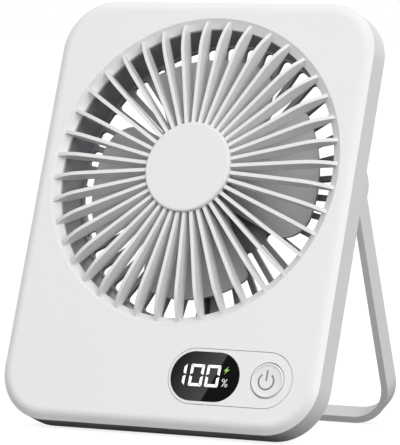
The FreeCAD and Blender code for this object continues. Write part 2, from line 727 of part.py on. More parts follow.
pin_down(rib, 4, 2, "rib_tip_radius", "rib_front - " + RIB_FALL)
bend_radius = rib.addConstraint(Sketcher.Constraint("Radius", 0, value(RIB_BEND)))
bind(rib, "Constraints[%d]" % bend_radius, RIB_BEND)
one_rib = pad(front_grille, rib, "rib_thickness", midplane=True)
polar(front_grille, one_rib, "rib_count")
HALF_RIB_TURN = Placement(Vector(0, 0, 0), Rotation(Vector(0, 0, 1), 180 / value("rib_count")))
keep(front_grille, FAN_PLACE * HALF_RIB_TURN)


# Grille cap: the plain round cover glued on the middle of the grille.
grille_cap = new_body("grille_cap")
disc = new_sketch(grille_cap, "XY_Plane", "cap_front")
add_circle(disc, "0", "0", "cap_radius")
disc_pad = pad(grille_cap, disc, "cap_thickness", forward=False)
fillet(grille_cap, disc_pad, "cap_round", lambda edge: at_depth(edge, value("cap_front")))
keep(grille_cap, FAN_PLACE)


# Fan frame: the air duct, the slotted rear guard and the plate that carries
# the motor, moulded as one piece and set in the rear shell.
fan_frame = new_body("fan_frame")
revolve(fan_frame, [
    ("duct_front_radius", "-duct_front"),
    ("duct_back_radius", "-" + FLOOR),
    ("hub_plate_radius", "-hub_plate_depth"),
    ("0", "-hub_plate_depth"),
    ("0", "-hub_plate_depth - hub_plate_wall"),
    ("hub_plate_radius + hub_plate_wall", "-hub_plate_depth - hub_plate_wall"),
    ("slot_outer", "-rear_depth"),
    ("frame_radius", "-rear_depth"),
    ("frame_radius", "-frame_shoulder"),
    ("duct_front_radius + duct_wall", "-duct_front"),
])
slot = new_sketch(fan_frame, "XY_Plane", "-" + FLOOR + " + back_wall")
add_tapered_slot(slot, "180 / bar_count", "bar_width / 2", "slot_inner", "slot_outer", "slot_round")
one_slot = pocket(fan_frame, slot, "rear_depth")
polar(fan_frame, one_slot, "bar_count")
LEAD_ANGLE = "(lead_slot_index * 360 / bar_count)"
closed_bar = new_sketch(fan_frame, "XZ_Plane")
closed_bar.AttachmentOffset = Placement(Vector(0, 0, 0), Rotation(Vector(0, 1, 0), value(LEAD_ANGLE)))
bind(closed_bar, "AttachmentOffset.Rotation.Angle", LEAD_ANGLE)
add_polygon(closed_bar, [("duct_back_radius", "-" + FLOOR), ("hub_plate_radius", "-hub_plate_depth"),
                         ("hub_plate_radius + hub_plate_wall", "-hub_plate_depth - hub_plate_wall"),
                         ("slot_outer", "-rear_depth"), ("duct_back_radius", "-rear_depth")])
closed_slot = fan_frame.newObject("PartDesign::Revolution", "closed_slot")
closed_slot.Profile = closed_bar
closed_slot.ReferenceAxis = (closed_bar, ["V_Axis"])
closed_slot.Midplane = True
bind(closed_slot, "Angle", "360 / bar_count")


def turned(x, y):
    """A point of the lead's own frame, in the fan's frame."""
    return ("(%s) * cos(%s) - (%s) * sin(%s)" % (x, LEAD_ANGLE, y, LEAD_ANGLE),
            "(%s) * sin(%s) + (%s) * cos(%s)" % (x, LEAD_ANGLE, y, LEAD_ANGLE))


ears = new_sketch(fan_frame, "XY_Plane", "-ear_back")
ear_holes = new_sketch(fan_frame, "XY_Plane", "-ear_back + ear_thickness")
for sign_x in ("", "-"):
    for sign_y in ("", "-"):
        add_circle(ears, sign_x + EAR_OFFSET, sign_y + EAR_OFFSET, "ear_radius")
        add_circle(ear_holes, sign_x + EAR_OFFSET, sign_y + EAR_OFFSET, "frame_screw_radius + screw_gap")
pad(fan_frame, ears, "ear_thickness")
pocket(fan_frame, ear_holes, "ear_thickness")
lead_notch = new_sketch(fan_frame, "XY_Plane", "-" + FLOOR + " + 3 * wire_radius")
add_polygon(lead_notch, [turned("duct_back_radius - duct_wall", "-2 * wire_radius"),
                         turned("duct_back_radius - duct_wall", "2 * wire_radius"),
                         turned("frame_radius + ear_radius", "2 * wire_radius"),
                         turned("frame_radius + ear_radius", "-2 * wire_radius")])
pocket(fan_frame, lead_notch, "3 * wire_radius")
screw_holes = new_sketch(fan_frame, "XY_Plane", "-hub_plate_depth")
add_circle(screw_holes, "base_screw_circle", "0", "base_screw_radius + screw_gap")
base_holes = pocket(fan_frame, screw_holes, "hub_plate_wall")
polar(fan_frame, base_holes, "3")
head_sinks = new_sketch(fan_frame, "XY_Plane", "-hub_plate_depth - hub_plate_wall")
add_circle(head_sinks, "base_screw_circle", "0", "base_screw_head + screw_gap")
base_sinks = pocket(fan_frame, head_sinks, "base_screw_sink", forward=True)
polar(fan_frame, base_sinks, "3")
keep(fan_frame, FAN_PLACE)


# Impeller: a hub cup and four broad blades whose pitch grows towards the tip.
BLADE_SPARE_ANGLE = 5


def blade_edge(radius, twist, middle):
    """One edge line of the blade's face, at a radius, from its low side to its high side."""
    low = value("blade_low_root") - BLADE_SPARE_ANGLE
    high = value("blade_high_root") + BLADE_SPARE_ANGLE
    points = []
    for step in range(9):
        angle = low + (high - low) * step / 8
        turn = math.radians(angle)
        points.append(Vector(radius * math.cos(turn), radius * math.sin(turn),
                             twist * angle - middle))
    line = Part.BSplineCurve()
    line.interpolate(points)
    return line.toShape()


def blade_outline():
    """The blade seen along the axis: swept sides, and a tip arc with rounded corners."""
    root_radius = value(HUB_BORE) + value("hub_wall") / 2
    tip_radius = value("blade_tip_radius")

    def spot(radius, angle):
        turn = math.radians(angle)
        return Vector(radius * math.cos(turn), radius * math.sin(turn), 0)

    low_root = spot(root_radius, value("blade_low_root"))
    low_tip = spot(tip_radius, value("blade_low_tip"))
    high_tip = spot(tip_radius, value("blade_high_tip"))
    high_root = spot(root_radius, value("blade_high_root"))
    middle_tip = spot(tip_radius, value("(blade_low_tip + blade_high_tip) / 2"))
    tip_arc = Part.Arc(low_tip, middle_tip, high_tip)
    root_arc = Part.Arc(high_root, spot(root_radius, 0), low_root)
    wire = Part.Wire([Part.LineSegment(low_root, low_tip).toShape(), tip_arc.toShape(),
                      Part.LineSegment(high_tip, high_root).toShape(), root_arc.toShape()])
    face = Part.Face(wire)
    depth = value("hub_back") + value("hub_front")
    prism = face.extrude(Vector(0, 0, depth))
    for tip, corner in ((low_tip, "blade_low_corner"), (high_tip, "blade_high_corner")):
        corner_edges = [edge for edge in prism.Edges
                        if abs(edge.BoundBox.ZLength - depth) < 1e-3
                        and math.hypot(edge.Vertexes[0].X - tip.x, edge.Vertexes[0].Y - tip.y) < 1e-3]
        prism = prism.makeFillet(value(corner), corner_edges)
    return prism.translated(Vector(0, 0, -depth))


def impeller_shape():
    hub_radius = value("hub_radius")
    front = -value("hub_front")
    length = value("hub_back") - value("hub_front")
    cup = Part.makeCylinder(hub_radius, length, Vector(0, 0, -value("hub_back")))
    front_edges = [edge for edge in cup.Edges if at_depth(edge, front)]
    cup = cup.makeFillet(value("hub_round"), front_edges)
    cup = cup.cut(Part.makeCylinder(value(HUB_BORE), length - value("hub_wall"),
                                    Vector(0, 0, -value("hub_back"))))
    inner = blade_edge(value(HUB_BORE) + value("hub_wall") / 4, value("blade_root_twist"),
                       value("blade_root_middle"))
    outer = blade_edge(value("blade_tip_radius") + value("blade_tip_gap") / 2, value("blade_tip_twist"),
                       value("blade_tip_middle"))
    slab = Part.makeRuledSurface(inner, outer).extrude(Vector(0, 0, value("blade_thickness")))
    blade = slab.common(blade_outline())
    blades = []
    count = int(value("blade_count"))
    for number in range(count):
        copy = blade.copy()
        copy.rotate(Vector(0, 0, 0), Vector(0, 0, 1), number * 360.0 / count)
        blades.append(copy)
    return cup.multiFuse(blades).Solids[0]


free_piece("impeller", impeller_shape(), ROTOR_PLACE)


# Rotor can: the pressed steel cup in the hub, which carries the magnet ring
# and is pressed on the shaft.
rotor_can = new_body("rotor_can")
revolve(rotor_can, [
    ("shaft_radius", "-" + CAN_FRONT),
    (CAN_RADIUS, "-" + CAN_FRONT),
    (CAN_RADIUS, "-can_back"),
    (MAGNET_RADIUS, "-can_back"),
    (MAGNET_RADIUS, "-%s - can_wall" % CAN_FRONT),
    ("shaft_radius", "-%s - can_wall" % CAN_FRONT),
])
keep(rotor_can, FAN_PLACE)

rotor_magnet = new_body("rotor_magnet")
revolve(rotor_magnet, [
    (MAGNET_RADIUS, "-can_back + can_gap"),
    (MAGNET_RADIUS, "-can_back + can_gap + magnet_length"),
    (MAGNET_RADIUS + " - magnet_thickness", "-can_back + can_gap + magnet_length"),
    (MAGNET_RADIUS + " - magnet_thickness", "-can_back + can_gap"),
])
keep(rotor_magnet, FAN_PLACE)

motor_shaft = new_body("motor_shaft")
pin_circle = new_sketch(motor_shaft, "XY_Plane", "-" + CAN_FRONT)
add_circle(pin_circle, "0", "0", "shaft_radius")
pad(motor_shaft, pin_circle, "shaft_back - " + CAN_FRONT, forward=False)
keep(motor_shaft, FAN_PLACE)


# Motor base: a flanged tube that holds the sleeve bearing, with the wound
# stator on its outside and the sensor board on its flange.
motor_base = new_body("motor_base")
revolve(motor_base, [
    (TUBE_BORE, "-bush_front"),
    (TUBE_RADIUS, "-bush_front"),
    (TUBE_RADIUS, "-" + BASE_FRONT),
    ("base_radius", "-" + BASE_FRONT),
    ("base_radius", "-hub_plate_depth"),
    (TUBE_BORE, "-hub_plate_depth"),
])
base_pilots = new_sketch(motor_base, "XY_Plane", "-" + BASE_FRONT)
add_circle(base_pilots, "base_screw_circle", "0", "base_screw_radius + screw_gap / 2")
one_pilot = pocket(motor_base, base_pilots, "base_thickness")
polar(motor_base, one_pilot, "3")
keep(motor_base, FAN_PLACE)

motor_bush = new_body("motor_bush")
revolve(motor_bush, [
    ("shaft_radius + bush_gap", "-bush_front"),
    (TUBE_BORE, "-bush_front"),
    (TUBE_BORE, "-bush_front - bush_length"),
    ("shaft_radius + bush_gap", "-bush_front - bush_length"),
])
keep(motor_bush, FAN_PLACE)

sensor_board = new_body("sensor_board")
revolve(sensor_board, [
    (TUBE_RADIUS, "-%s + board_ring_thickness" % BASE_FRONT),
    ("board_ring_outer", "-%s + board_ring_thickness" % BASE_FRONT),
    ("board_ring_outer", "-" + BASE_FRONT),
    (TUBE_RADIUS, "-" + BASE_FRONT),
])
keep(sensor_board, FAN_PLACE)


# Stator: a laminated core with nine teeth, and a coil wound round each tooth.
def tooth_box(width, low, high, front, back):
    return Part.makeBox(high - low, width, back - front, Vector(low, -width / 2, -back))


def stator_core_shape():
    outer = value(CORE_RADIUS)
    back = value("core_back")
    front = back - value("core_thickness")
    hub = Part.makeCylinder(value("tooth_root"), back - front, Vector(0, 0, -back))
    shoe_ring = Part.makeCylinder(outer, back - front, Vector(0, 0, -back)).cut(
        Part.makeCylinder(outer - value("tooth_shoe"), back - front, Vector(0, 0, -back)))
    pieces = []
    count = int(value("tooth_count"))
    shoe_width = 2 * outer * math.sin(math.pi / count) - 2 * value("air_gap")
    shoe = shoe_ring.common(tooth_box(shoe_width, value("tooth_root"), outer + 1, front, back))
    tooth = tooth_box(value("tooth_width"), value("tooth_root") - 1, outer - value("tooth_shoe") / 2,
                      front, back)
    for number in range(count):
        for part in (tooth, shoe):
            copy = part.copy()
            copy.rotate(Vector(0, 0, 0), Vector(0, 0, 1), number * 360.0 / count)
            pieces.append(copy)
    core = hub.multiFuse(pieces)
    return core.cut(Part.makeCylinder(value(TUBE_RADIUS), back - front, Vector(0, 0, -back))).Solids[0]


def stator_coils_shape():
    back = value("core_back")
    front = back - value("core_thickness")
    bulge = value("coil_bulge")
    width = value("tooth_width")
    low = value("tooth_root") + value("air_gap")
    high = value(CORE_RADIUS) - value("tooth_shoe") - value("air_gap") / 4
    winding = tooth_box(width + 2 * value("coil_side"), low, high, front - bulge, back + bulge)
    winding = winding.common(Part.makeCylinder(high, back - front + 2 * bulge, Vector(0, 0, -back - bulge)))
    winding = winding.cut(tooth_box(width, 0, 2 * high, front, back))
    coils = []
    count = int(value("tooth_count"))
    for number in range(count):
        coil = winding.copy()
        coil.rotate(Vector(0, 0, 0), Vector(0, 0, 1), number * 360.0 / count)
        coils.append(coil)
    return Part.makeCompound(coils)


free_piece("stator_core", stator_core_shape(), FAN_PLACE)
free_piece("stator_coils", stator_coils_shape(), FAN_PLACE)


# Control panel: the pill-shaped insert with the display window and button.
control_panel = new_body("control_panel")
face = new_sketch(control_panel, "XY_Plane")
add_pill(face, "panel_x", "-panel_drop", "panel_length - 2 * panel_seam", "panel_tall - 2 * panel_seam")
pad(control_panel, face, PANEL_BACK, forward=False)
lip = new_sketch(control_panel, "XY_Plane", "-face_wall")
add_pill(lip, "panel_x", "-panel_drop", "panel_length + 2 * panel_lip", "panel_tall + 2 * panel_lip")
pad(control_panel, lip, "panel_lip_wall", forward=False)
posts = new_sketch(control_panel, "XY_Plane", "-face_wall")
add_circle(posts, "panel_x - post_reach", "-panel_drop", "post_radius")
add_circle(posts, "panel_x + post_reach", "-panel_drop", "post_radius")
pad(control_panel, posts, "board_depth - face_wall", forward=False)
post_pilots = new_sketch(control_panel, "XY_Plane", "-board_depth")
add_circle(post_pilots, "panel_x - post_reach", "-panel_drop", "board_screw_radius + screw_gap / 2")
add_circle(post_pilots, "panel_x + post_reach", "-panel_drop", "board_screw_radius + screw_gap / 2")
pocket(control_panel, post_pilots, "board_screw_length", forward=True)
window_seat = new_sketch(control_panel, "XY_Plane")
add_pill(window_seat, "window_x", "-panel_drop", "window_length", "window_tall")
pocket(control_panel, window_seat, "window_thickness + window_gap")
window_light = new_sketch(control_panel, "XY_Plane")
add_pill(window_light, "window_x", "-panel_drop", "window_length - 2 * window_ledge",
         "window_tall - 2 * window_ledge")
add_circle(window_light, "button_x", "-panel_drop", "button_radius + button_gap")
pocket(control_panel, window_light, "board_depth")
keep(control_panel, BODY_PLACE)

display_window = new_body("display_window")
glass = new_sketch(display_window, "XY_Plane", "-window_gap")
add_pill(glass, "window_x", "-panel_drop", "window_length - 2 * window_gap", "window_tall - 2 * window_gap")
pad(display_window, glass, "window_thickness", forward=False)
keep(display_window, BODY_PLACE)

display_module = new_body("display_module")
block = new_sketch(display_module, "XY_Plane", "-board_depth")
add_box(block, "window_x - module_length / 2", "window_x + module_length / 2",
        "-panel_drop - module_tall / 2", "-panel_drop + module_tall / 2")
pad(display_module, block, "module_thickness")
keep(display_module, BODY_PLACE)

main_board = new_body("main_board")
board = new_sketch(main_board, "XY_Plane", "-board_depth")
add_box(board, "panel_x - board_length / 2", "panel_x + board_length / 2",
        "-panel_drop - board_tall / 2", "-panel_drop + board_tall / 2")
add_circle(board, "panel_x - post_reach", "-panel_drop", "board_screw_radius + screw_gap")
add_circle(board, "panel_x + post_reach", "-panel_drop", "board_screw_radius + screw_gap")
pad(main_board, board, "board_thickness", forward=False)
keep(main_board, BODY_PLACE)

# Power button: a round key with a lip behind the panel and a short stem that
# rests on the switch's plunger.
power_button = new_body("power_button")
revolve(power_button, [
    ("0", "button_proud"),
    ("button_radius", "button_proud"),
    ("button_radius", "-" + BUTTON_LIP_FRONT),
    ("button_radius + button_lip", "-" + BUTTON_LIP_FRONT),
    ("button_radius + button_lip", "-%s - button_lip_wall" % BUTTON_LIP_FRONT),
    ("button_stem_radius", "-%s - button_lip_wall" % BUTTON_LIP_FRONT),
    ("button_stem_radius", "-" + STEM_END),
    ("0", "-" + STEM_END),
])
BUTTON_PLACE = BODY_PLACE * Placement(Vector(value("button_x"), -value("panel_drop"), 0), Rotation())
keep(power_button, BUTTON_PLACE)

button_switch = new_body("button_switch")
base = new_sketch(button_switch, "XY_Plane", "-board_depth")
add_box(base, "-switch_side / 2", "switch_side / 2", "-switch_side / 2", "switch_side / 2")
pad(button_switch, base, "switch_thickness")
bore = new_sketch(button_switch, "XY_Plane", "-" + SWITCH_FRONT)
add_circle(bore, "0", "0", "plunger_radius + screw_gap")
pocket(button_switch, bore, "switch_thickness - screw_gap")
keep(button_switch, BUTTON_PLACE)

switch_plunger = new_body("switch_plunger")
key = new_sketch(switch_plunger, "XY_Plane", "-" + STEM_END)
add_circle(key, "0", "0", "plunger_radius")
pad(switch_plunger, key, "%s - %s + plunger_below" % (SWITCH_FRONT, STEM_END), forward=False)
keep(switch_plunger, BUTTON_PLACE)


# Cell: a flat lithium pouch in the lower left, stuck to the back with foam.
battery_cell = new_body("battery_cell")
pouch = new_sketch(battery_cell, "XY_Plane", "-" + CELL_BACK)
add_box(pouch, "cell_x - cell_length / 2", "cell_x + cell_length / 2",
        "-cell_drop - cell_tall / 2", "-cell_drop + cell_tall / 2")
pouch_pad = pad(battery_cell, pouch, "cell_thickness")
fillet(battery_cell, pouch_pad, "cell_round",
       lambda edge: abs(edge.BoundBox.XLength - value("cell_length")) < 1e-3)
keep(battery_cell, BODY_PLACE)

battery_foam = new_body("battery_foam")
sheet_outline = new_sketch(battery_foam, "XY_Plane", "-" + FLOOR)
add_box(sheet_outline, "cell_x - cell_length / 2 + foam_margin", "cell_x + cell_length / 2 - foam_margin",
        "-cell_drop - cell_tall / 2 + cell_round + foam_margin",
        "-cell_drop + cell_tall / 2 - cell_round - foam_margin")
pad(battery_foam, sheet_outline, "foam_thickness")
keep(battery_foam, BODY_PLACE)

# Charging inlet: a small board on the flange, with the socket behind the
# opening in the rim's left side.
SOCKET_MOUTH = "(body_width / 2 - socket_recess)"
charge_board = new_body("charge_board")
board = new_sketch(charge_board, "XY_Plane", "-" + FLANGE_FRONT)
add_box(board, "-%s + 2 * lap_gap" % POCKET_EDGE, "-%s + charge_board_length" % POCKET_EDGE,
        "-charge_drop - charge_board_tall / 2", "-charge_drop + charge_board_tall / 2")
pad(charge_board, board, "charge_board_thickness")
keep(charge_board, BODY_PLACE)

charge_socket = new_body("charge_socket")
shell_outline = new_sketch(charge_socket, "YZ_Plane", "-" + SOCKET_MOUTH)
add_pill(shell_outline, "-charge_drop", "-" + SOCKET_MIDDLE, "socket_width", "socket_height")
pad(charge_socket, shell_outline, "socket_length")
mouth = new_sketch(charge_socket, "YZ_Plane", "-" + SOCKET_MOUTH)
add_pill(mouth, "-charge_drop", "-" + SOCKET_MIDDLE, "socket_width - 2 * socket_wall",
         "socket_height - 2 * socket_wall")
pocket(charge_socket, mouth, "socket_length - 2 * socket_wall", forward=True)
tongue = new_sketch(charge_socket, "YZ_Plane", "-%s + 2 * socket_wall" % SOCKET_MOUTH)
add_box(tongue, "-charge_drop - tongue_width / 2", "-charge_drop + tongue_width / 2",
        "-%s - tongue_thickness / 2" % SOCKET_MIDDLE, "-%s + tongue_thickness / 2" % SOCKET_MIDDLE)
pad(charge_socket, tongue, "socket_length - 3 * socket_wall")
keep(charge_socket, BODY_PLACE)


# Stand: one flat strip bent to a U, with a round eye at the end of each arm.
stand = new_body("stand")
STAND_HALF = "(stand_width / 2)"
STAND_TOP = "(2 * stand_corner)"
strip = new_sketch(stand, "XY_Plane")
add_rounded_box(strip, STAND_HALF, "(stand_reach + %s) / 2" % STAND_TOP, "stand_corner",
                "-(stand_reach - %s) / 2" % STAND_TOP)
pad(stand, strip, "stand_depth", midplane=True)
inside = new_sketch(stand, "XY_Plane", "stand_depth")
add_rounded_box(inside, STAND_HALF + " - stand_strip", "(stand_reach + %s) / 2 - stand_strip" % STAND_TOP,
                "stand_corner - stand_strip", "-(stand_reach - %s) / 2" % STAND_TOP)
pocket(stand, inside, "2 * stand_depth")
trim = new_sketch(stand, "XY_Plane", "stand_depth")
add_box(trim, "-" + STAND_HALF + " - stand_strip", STAND_HALF + " + stand_strip",
        "0", STAND_TOP + " + stand_strip")
pocket(stand, trim, "2 * stand_depth")
for sign in (1, -1):
    words = "" if sign > 0 else "-"
    eye = new_sketch(stand, "YZ_Plane", words + "(%s - stand_strip)" % STAND_HALF)
    add_circle(eye, "0", "0", "eye_radius")
    pad(stand, eye, "stand_strip", forward=sign > 0)
eye_hole = new_sketch(stand, "YZ_Plane")
add_circle(eye_hole, "0", "0", "pin_radius + pin_gap")
pocket(stand, eye_hole, "stand_width", forward=True)
eye_hole_left = new_sketch(stand, "YZ_Plane")
add_circle(eye_hole_left, "0", "0", "pin_radius + pin_gap")
pocket(stand, eye_hole_left, "stand_width")
keep(stand, STAND_PLACE)


# Pivot pins: headed steel pins put in from inside the rear shell's wall, with
# a nylon washer between the wall and the stand's eye.
def side_cylinder(radius, start, length, sign):
    return Part.makeCylinder(radius, length, Vector(sign * start, 0, 0), Vector(sign, 0, 0))


def pivot_pins_shape():
    wall_inside = value(BACK_HALF_WIDTH + " - side_wall")
    pins = []
    for sign in (1, -1):
        head = side_cylinder(value("pin_head_radius"), wall_inside, value("pin_head_depth"), sign)
        length = value(STAND_HALF) - value("pin_gap") - wall_inside
        shank = side_cylinder(value("pin_radius"), wall_inside, length, sign)
        pins.append(head.fuse(shank).removeSplitter())
    return Part.makeCompound(pins)


def pivot_washers_shape():
    wall_outside = value(BACK_HALF_WIDTH)
    washers = []
    for sign in (1, -1):
        disc = side_cylinder(value("washer_radius"), wall_outside, value("washer_thickness"), sign)
        hole = side_cylinder(value("pin_radius + pin_gap"), wall_outside, value("washer_thickness"), sign)
        washers.append(disc.cut(hole))
    return Part.makeCompound(washers)


free_piece("pivot_pins", pivot_pins_shape(), PIVOT_PLACE)
free_piece("pivot_washers", pivot_washers_shape(), PIVOT_PLACE)


# Screws, each group in one sub-part. A screw's head faces the way it is put
# in from, and its shank clears its pilot hole by the same small gap.
def screw(x, y, head_face, toward, head_radius, head_height, shank_radius, length):
    direction = Vector(0, 0, toward)
    start = Vector(x, y, head_face)
    head = Part.makeCylinder(head_radius, head_height, start, direction)
    shank = Part.makeCylinder(shank_radius, length, start + direction * head_height, direction)
    recess = Part.makeCylinder(head_radius * 0.5, head_height * 0.5, start, direction)
    return head.fuse(shank).cut(recess).removeSplitter()


def shell_screws_shape():
    head_face = -value("rear_depth - screw_sink")
    grip = value("rear_depth - screw_sink - screw_head_height - %s + screw_grip" % PILLAR_END)
    return Part.makeCompound([screw(value(spot_x), value(spot_y), head_face, 1, value("screw_head_radius"),
                                    value("screw_head_height"), value("screw_radius"), grip)
                              for spot_x, spot_y in SCREW_SPOTS])


def frame_screws_shape():
    head_face = -value("ear_back - ear_thickness - screw_head_height")
    return Part.makeCompound([screw(value(spot_x), value(spot_y), head_face, -1, value("frame_screw_head"),
                                    value("screw_head_height"), value("frame_screw_radius"),
                                    value("frame_screw_length"))
                              for spot_x, spot_y in EAR_SPOTS])


def motor_screws_shape():
    head_face = -value("hub_plate_depth + hub_plate_wall - screw_gap")
    head_height = value("base_screw_sink") - value("screw_gap")
    length = value("hub_plate_wall - base_screw_sink + base_thickness - screw_gap")
    screws = []
    for number in range(3):
        turn = math.radians(120 * number)
        circle = value("base_screw_circle")
        screws.append(screw(circle * math.cos(turn), circle * math.sin(turn), head_face, 1,
                            value("base_screw_head"), head_height, value("base_screw_radius"), length))
    return Part.makeCompound(screws)


def board_screws_shape():
    head_face = -value("board_depth + board_thickness + screw_head_height / 2")
    length = value("board_thickness + board_screw_length - screw_gap")
    screws = []
    for spot_x in ("panel_x - post_reach", "panel_x + post_reach"):
        screws.append(screw(value(spot_x), -value("panel_drop"), head_face, 1, value("board_screw_head"),
                            value("screw_head_height / 2"), value("board_screw_radius"), length))
    return Part.makeCompound(screws)


free_piece("shell_screws", shell_screws_shape(), BODY_PLACE)
free_piece("frame_screws", frame_screws_shape(), BODY_PLACE)
free_piece("motor_screws", motor_screws_shape(), FAN_PLACE)
free_piece("board_screws", board_screws_shape(), BODY_PLACE)


# Leads: round wires led inside the housing, of straight runs joined by arcs.
def wire(points):
    radius = value("wire_radius")
    edges = []
    start = points[0]
    for index in range(1, len(points) - 1):
        before = points[index - 1] - points[index]
        after = points[index + 1] - points[index]
        half_turn = (math.pi - before.getAngle(after)) / 2
        cut = 0.45 * min(before.Length, after.Length)
        bend = cut / math.tan(half_turn)
        before.normalize()
        after.normalize()
        inward = (before + after).normalize()
        arc_start = points[index] + before * cut
        arc_end = points[index] + after * cut
        arc_middle = points[index] + inward * (bend / math.cos(half_turn) - bend)
        edges.append(Part.LineSegment(start, arc_start).toShape())
        edges.append(Part.Arc(arc_start, arc_middle, arc_end).toShape())
        start = arc_end
    edges.append(Part.LineSegment(start, points[-1]).toShape())
    section = Part.Wire([Part.makeCircle(radius, points[0], (points[1] - points[0]).normalize())])
    return Part.Wire(edges).makePipeShell([section], True, False)


def motor_lead_shape():
    """From the sensor board, along the closed bar of the guard, to the main board."""
    turn = math.radians(value(LEAD_ANGLE))
    thick = value("wire_radius + screw_gap")

    def spot(radius, depth):
        return Vector(radius * math.cos(turn), radius * math.sin(turn) + value("fan_height"), -depth)

    start = spot(value("board_ring_outer"), value(BASE_FRONT) - thick)
    past_base = spot(value("base_radius + 2 * wire_radius"), value(BASE_FRONT) - thick)
    plate_edge = spot(value("hub_plate_radius"), value("hub_plate_depth") - thick - value("frame_gap"))
    rim = spot(value("(duct_back_radius + frame_radius) / 2"), value(FLOOR) - thick)
    corner = rim + (rim - plate_edge).normalize() * value("frame_radius + 4 * ear_radius - duct_back_radius")
    end = Vector(corner.x, corner.y, -value("board_depth + board_thickness"))
    return wire([start, past_base, plate_edge, corner, end])


def battery_lead_shape():
    """From the cell's right end to the back of the main board."""
    board_back = -value("board_depth + board_thickness")
    start = Vector(value("cell_x + cell_length / 2"), -value("cell_drop + cell_tall / 4"),
                   (board_back - value(FLOOR)) / 2)
    corner = start + Vector(6 * value("wire_radius"), 0, 0)
    end = Vector(corner.x, corner.y, board_back)
    return wire([start, corner, end])


def charge_lead_shape():
    """From the charging board, over the cell, to the front of the main board."""
    thick = value("wire_radius + screw_gap / 2")
    board_right = -value(POCKET_EDGE + " - charge_board_length")
    height = -value("charge_drop")
    low = thick - value(CHARGE_BOARD_FRONT)
    over = value("cell_thickness") - value(CELL_BACK) + thick
    start = Vector(board_right - 5 * value("wire_radius"), height, low)
    leaving = Vector(board_right - value("wire_radius"), height, low)
    risen = Vector(value("cell_x - cell_length / 2 - 4 * wire_radius"), height, over)
    past_cell = Vector(value("cell_x + cell_length / 2 + 2 * wire_radius"), height, over)
    end = Vector(value("panel_x - board_length / 2 + 6 * wire_radius"), height, thick - value("board_depth"))
    return wire([start, leaving, risen, past_cell, end])


free_piece("motor_lead", motor_lead_shape(), BODY_PLACE)
free_piece("battery_lead", battery_lead_shape(), BODY_PLACE)
free_piece("charge_lead", charge_lead_shape(), BODY_PLACE)


doc.recompute()
for piece in doc.Objects:
    if "Invalid" in piece.State or "Error" in piece.State:
        raise RuntimeError("not built: %s %s" % (piece.Label, piece.State))
for piece, place in subparts:
    piece.Placement = place
doc.recompute()
os.makedirs("parts", exist_ok=True)
for piece, place in subparts:
    shape = piece.Shape
    if shape.isNull() or not shape.isValid() or not shape.Solids:
        raise RuntimeError("not a sound solid: " + piece.Label)
    print("%-16s solids %2d volume %10.1f" % (piece.Label, len(shape.Solids), shape.Volume))
for piece, place in subparts:
    piece.Shape.exportStep("parts/%s.step" % piece.Label)
print("stand open %.3f deg, pivot at y %.4f z %.4f mm" % (open_angle, pivot_back + middle_shift, pivot_up))
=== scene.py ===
import json
import math

import bpy
import bmesh
from mathutils import Matrix, Vector


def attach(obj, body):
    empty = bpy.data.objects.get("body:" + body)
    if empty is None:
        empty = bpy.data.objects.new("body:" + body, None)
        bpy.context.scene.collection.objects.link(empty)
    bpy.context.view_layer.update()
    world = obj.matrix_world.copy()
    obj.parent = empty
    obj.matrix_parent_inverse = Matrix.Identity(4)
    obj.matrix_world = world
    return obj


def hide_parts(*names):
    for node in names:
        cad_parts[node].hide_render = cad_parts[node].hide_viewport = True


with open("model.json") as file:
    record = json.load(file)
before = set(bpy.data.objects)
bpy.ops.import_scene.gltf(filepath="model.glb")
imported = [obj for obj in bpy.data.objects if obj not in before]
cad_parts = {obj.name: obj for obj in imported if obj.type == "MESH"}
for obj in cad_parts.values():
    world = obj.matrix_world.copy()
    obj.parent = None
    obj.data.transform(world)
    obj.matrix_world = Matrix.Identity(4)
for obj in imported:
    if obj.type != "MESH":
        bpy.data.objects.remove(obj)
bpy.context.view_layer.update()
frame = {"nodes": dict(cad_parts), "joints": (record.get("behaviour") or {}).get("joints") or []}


# The camera and the studio: a pale floor and backdrop under an even sky, with
# a wide lamp at the front right and a weaker one at the front left. The camera
# stands at the photograph's place, low and to the right, with a long lens.
hinge = [joint for joint in frame["joints"] if joint["name"] == "stand_hinge"][0]
hinge_up, hinge_behind = 0.0181, 0.0179
lean = math.radians(19.6)
housing_turn = Matrix.Rotation(math.pi / 2 - lean, 4, "X")
face_from_hinge = Matrix.Translation((0, -hinge_up, hinge_behind))
housing_place = Matrix.Translation(hinge["pos_m"]) @ housing_turn @ face_from_hinge
camera_spot = housing_place @ Vector((0.66378, -0.34854, 1.21968))
camera_right = housing_turn @ Vector((0.88722731, 0.16556725, -0.43059864))
camera_down = housing_turn @ Vector((0.03779117, -0.95632704, -0.2898455))
camera_ahead = housing_turn @ Vector((-0.45978205, 0.24088602, -0.85473645))
camera_data = bpy.data.cameras.new("photo_camera")
camera_data.lens = 285.9
camera_data.sensor_width = 36
camera_data.clip_end = 50
camera = bpy.data.objects.new("photo_camera", camera_data)
bpy.context.scene.collection.objects.link(camera)
camera.matrix_world = Matrix((
    (camera_right.x, -camera_down.x, -camera_ahead.x, camera_spot.x),
    (camera_right.y, -camera_down.y, -camera_ahead.y, camera_spot.y),
    (camera_right.z, -camera_down.z, -camera_ahead.z, camera_spot.z),
    (0, 0, 0, 1)))
bpy.context.scene.camera = camera
bpy.context.scene.view_settings.view_transform = "Standard"


def linear(hex_colour):
    """An sRGB hex colour as linear red, green, blue and alpha."""
    channels = []
    for start in (1, 3, 5):
        level = int(hex_colour[start:start + 2], 16) / 255
        channels.append(level / 12.92 if level <= 0.04045 else ((level + 0.055) / 1.055) ** 2.4)
    return (*channels, 1.0)


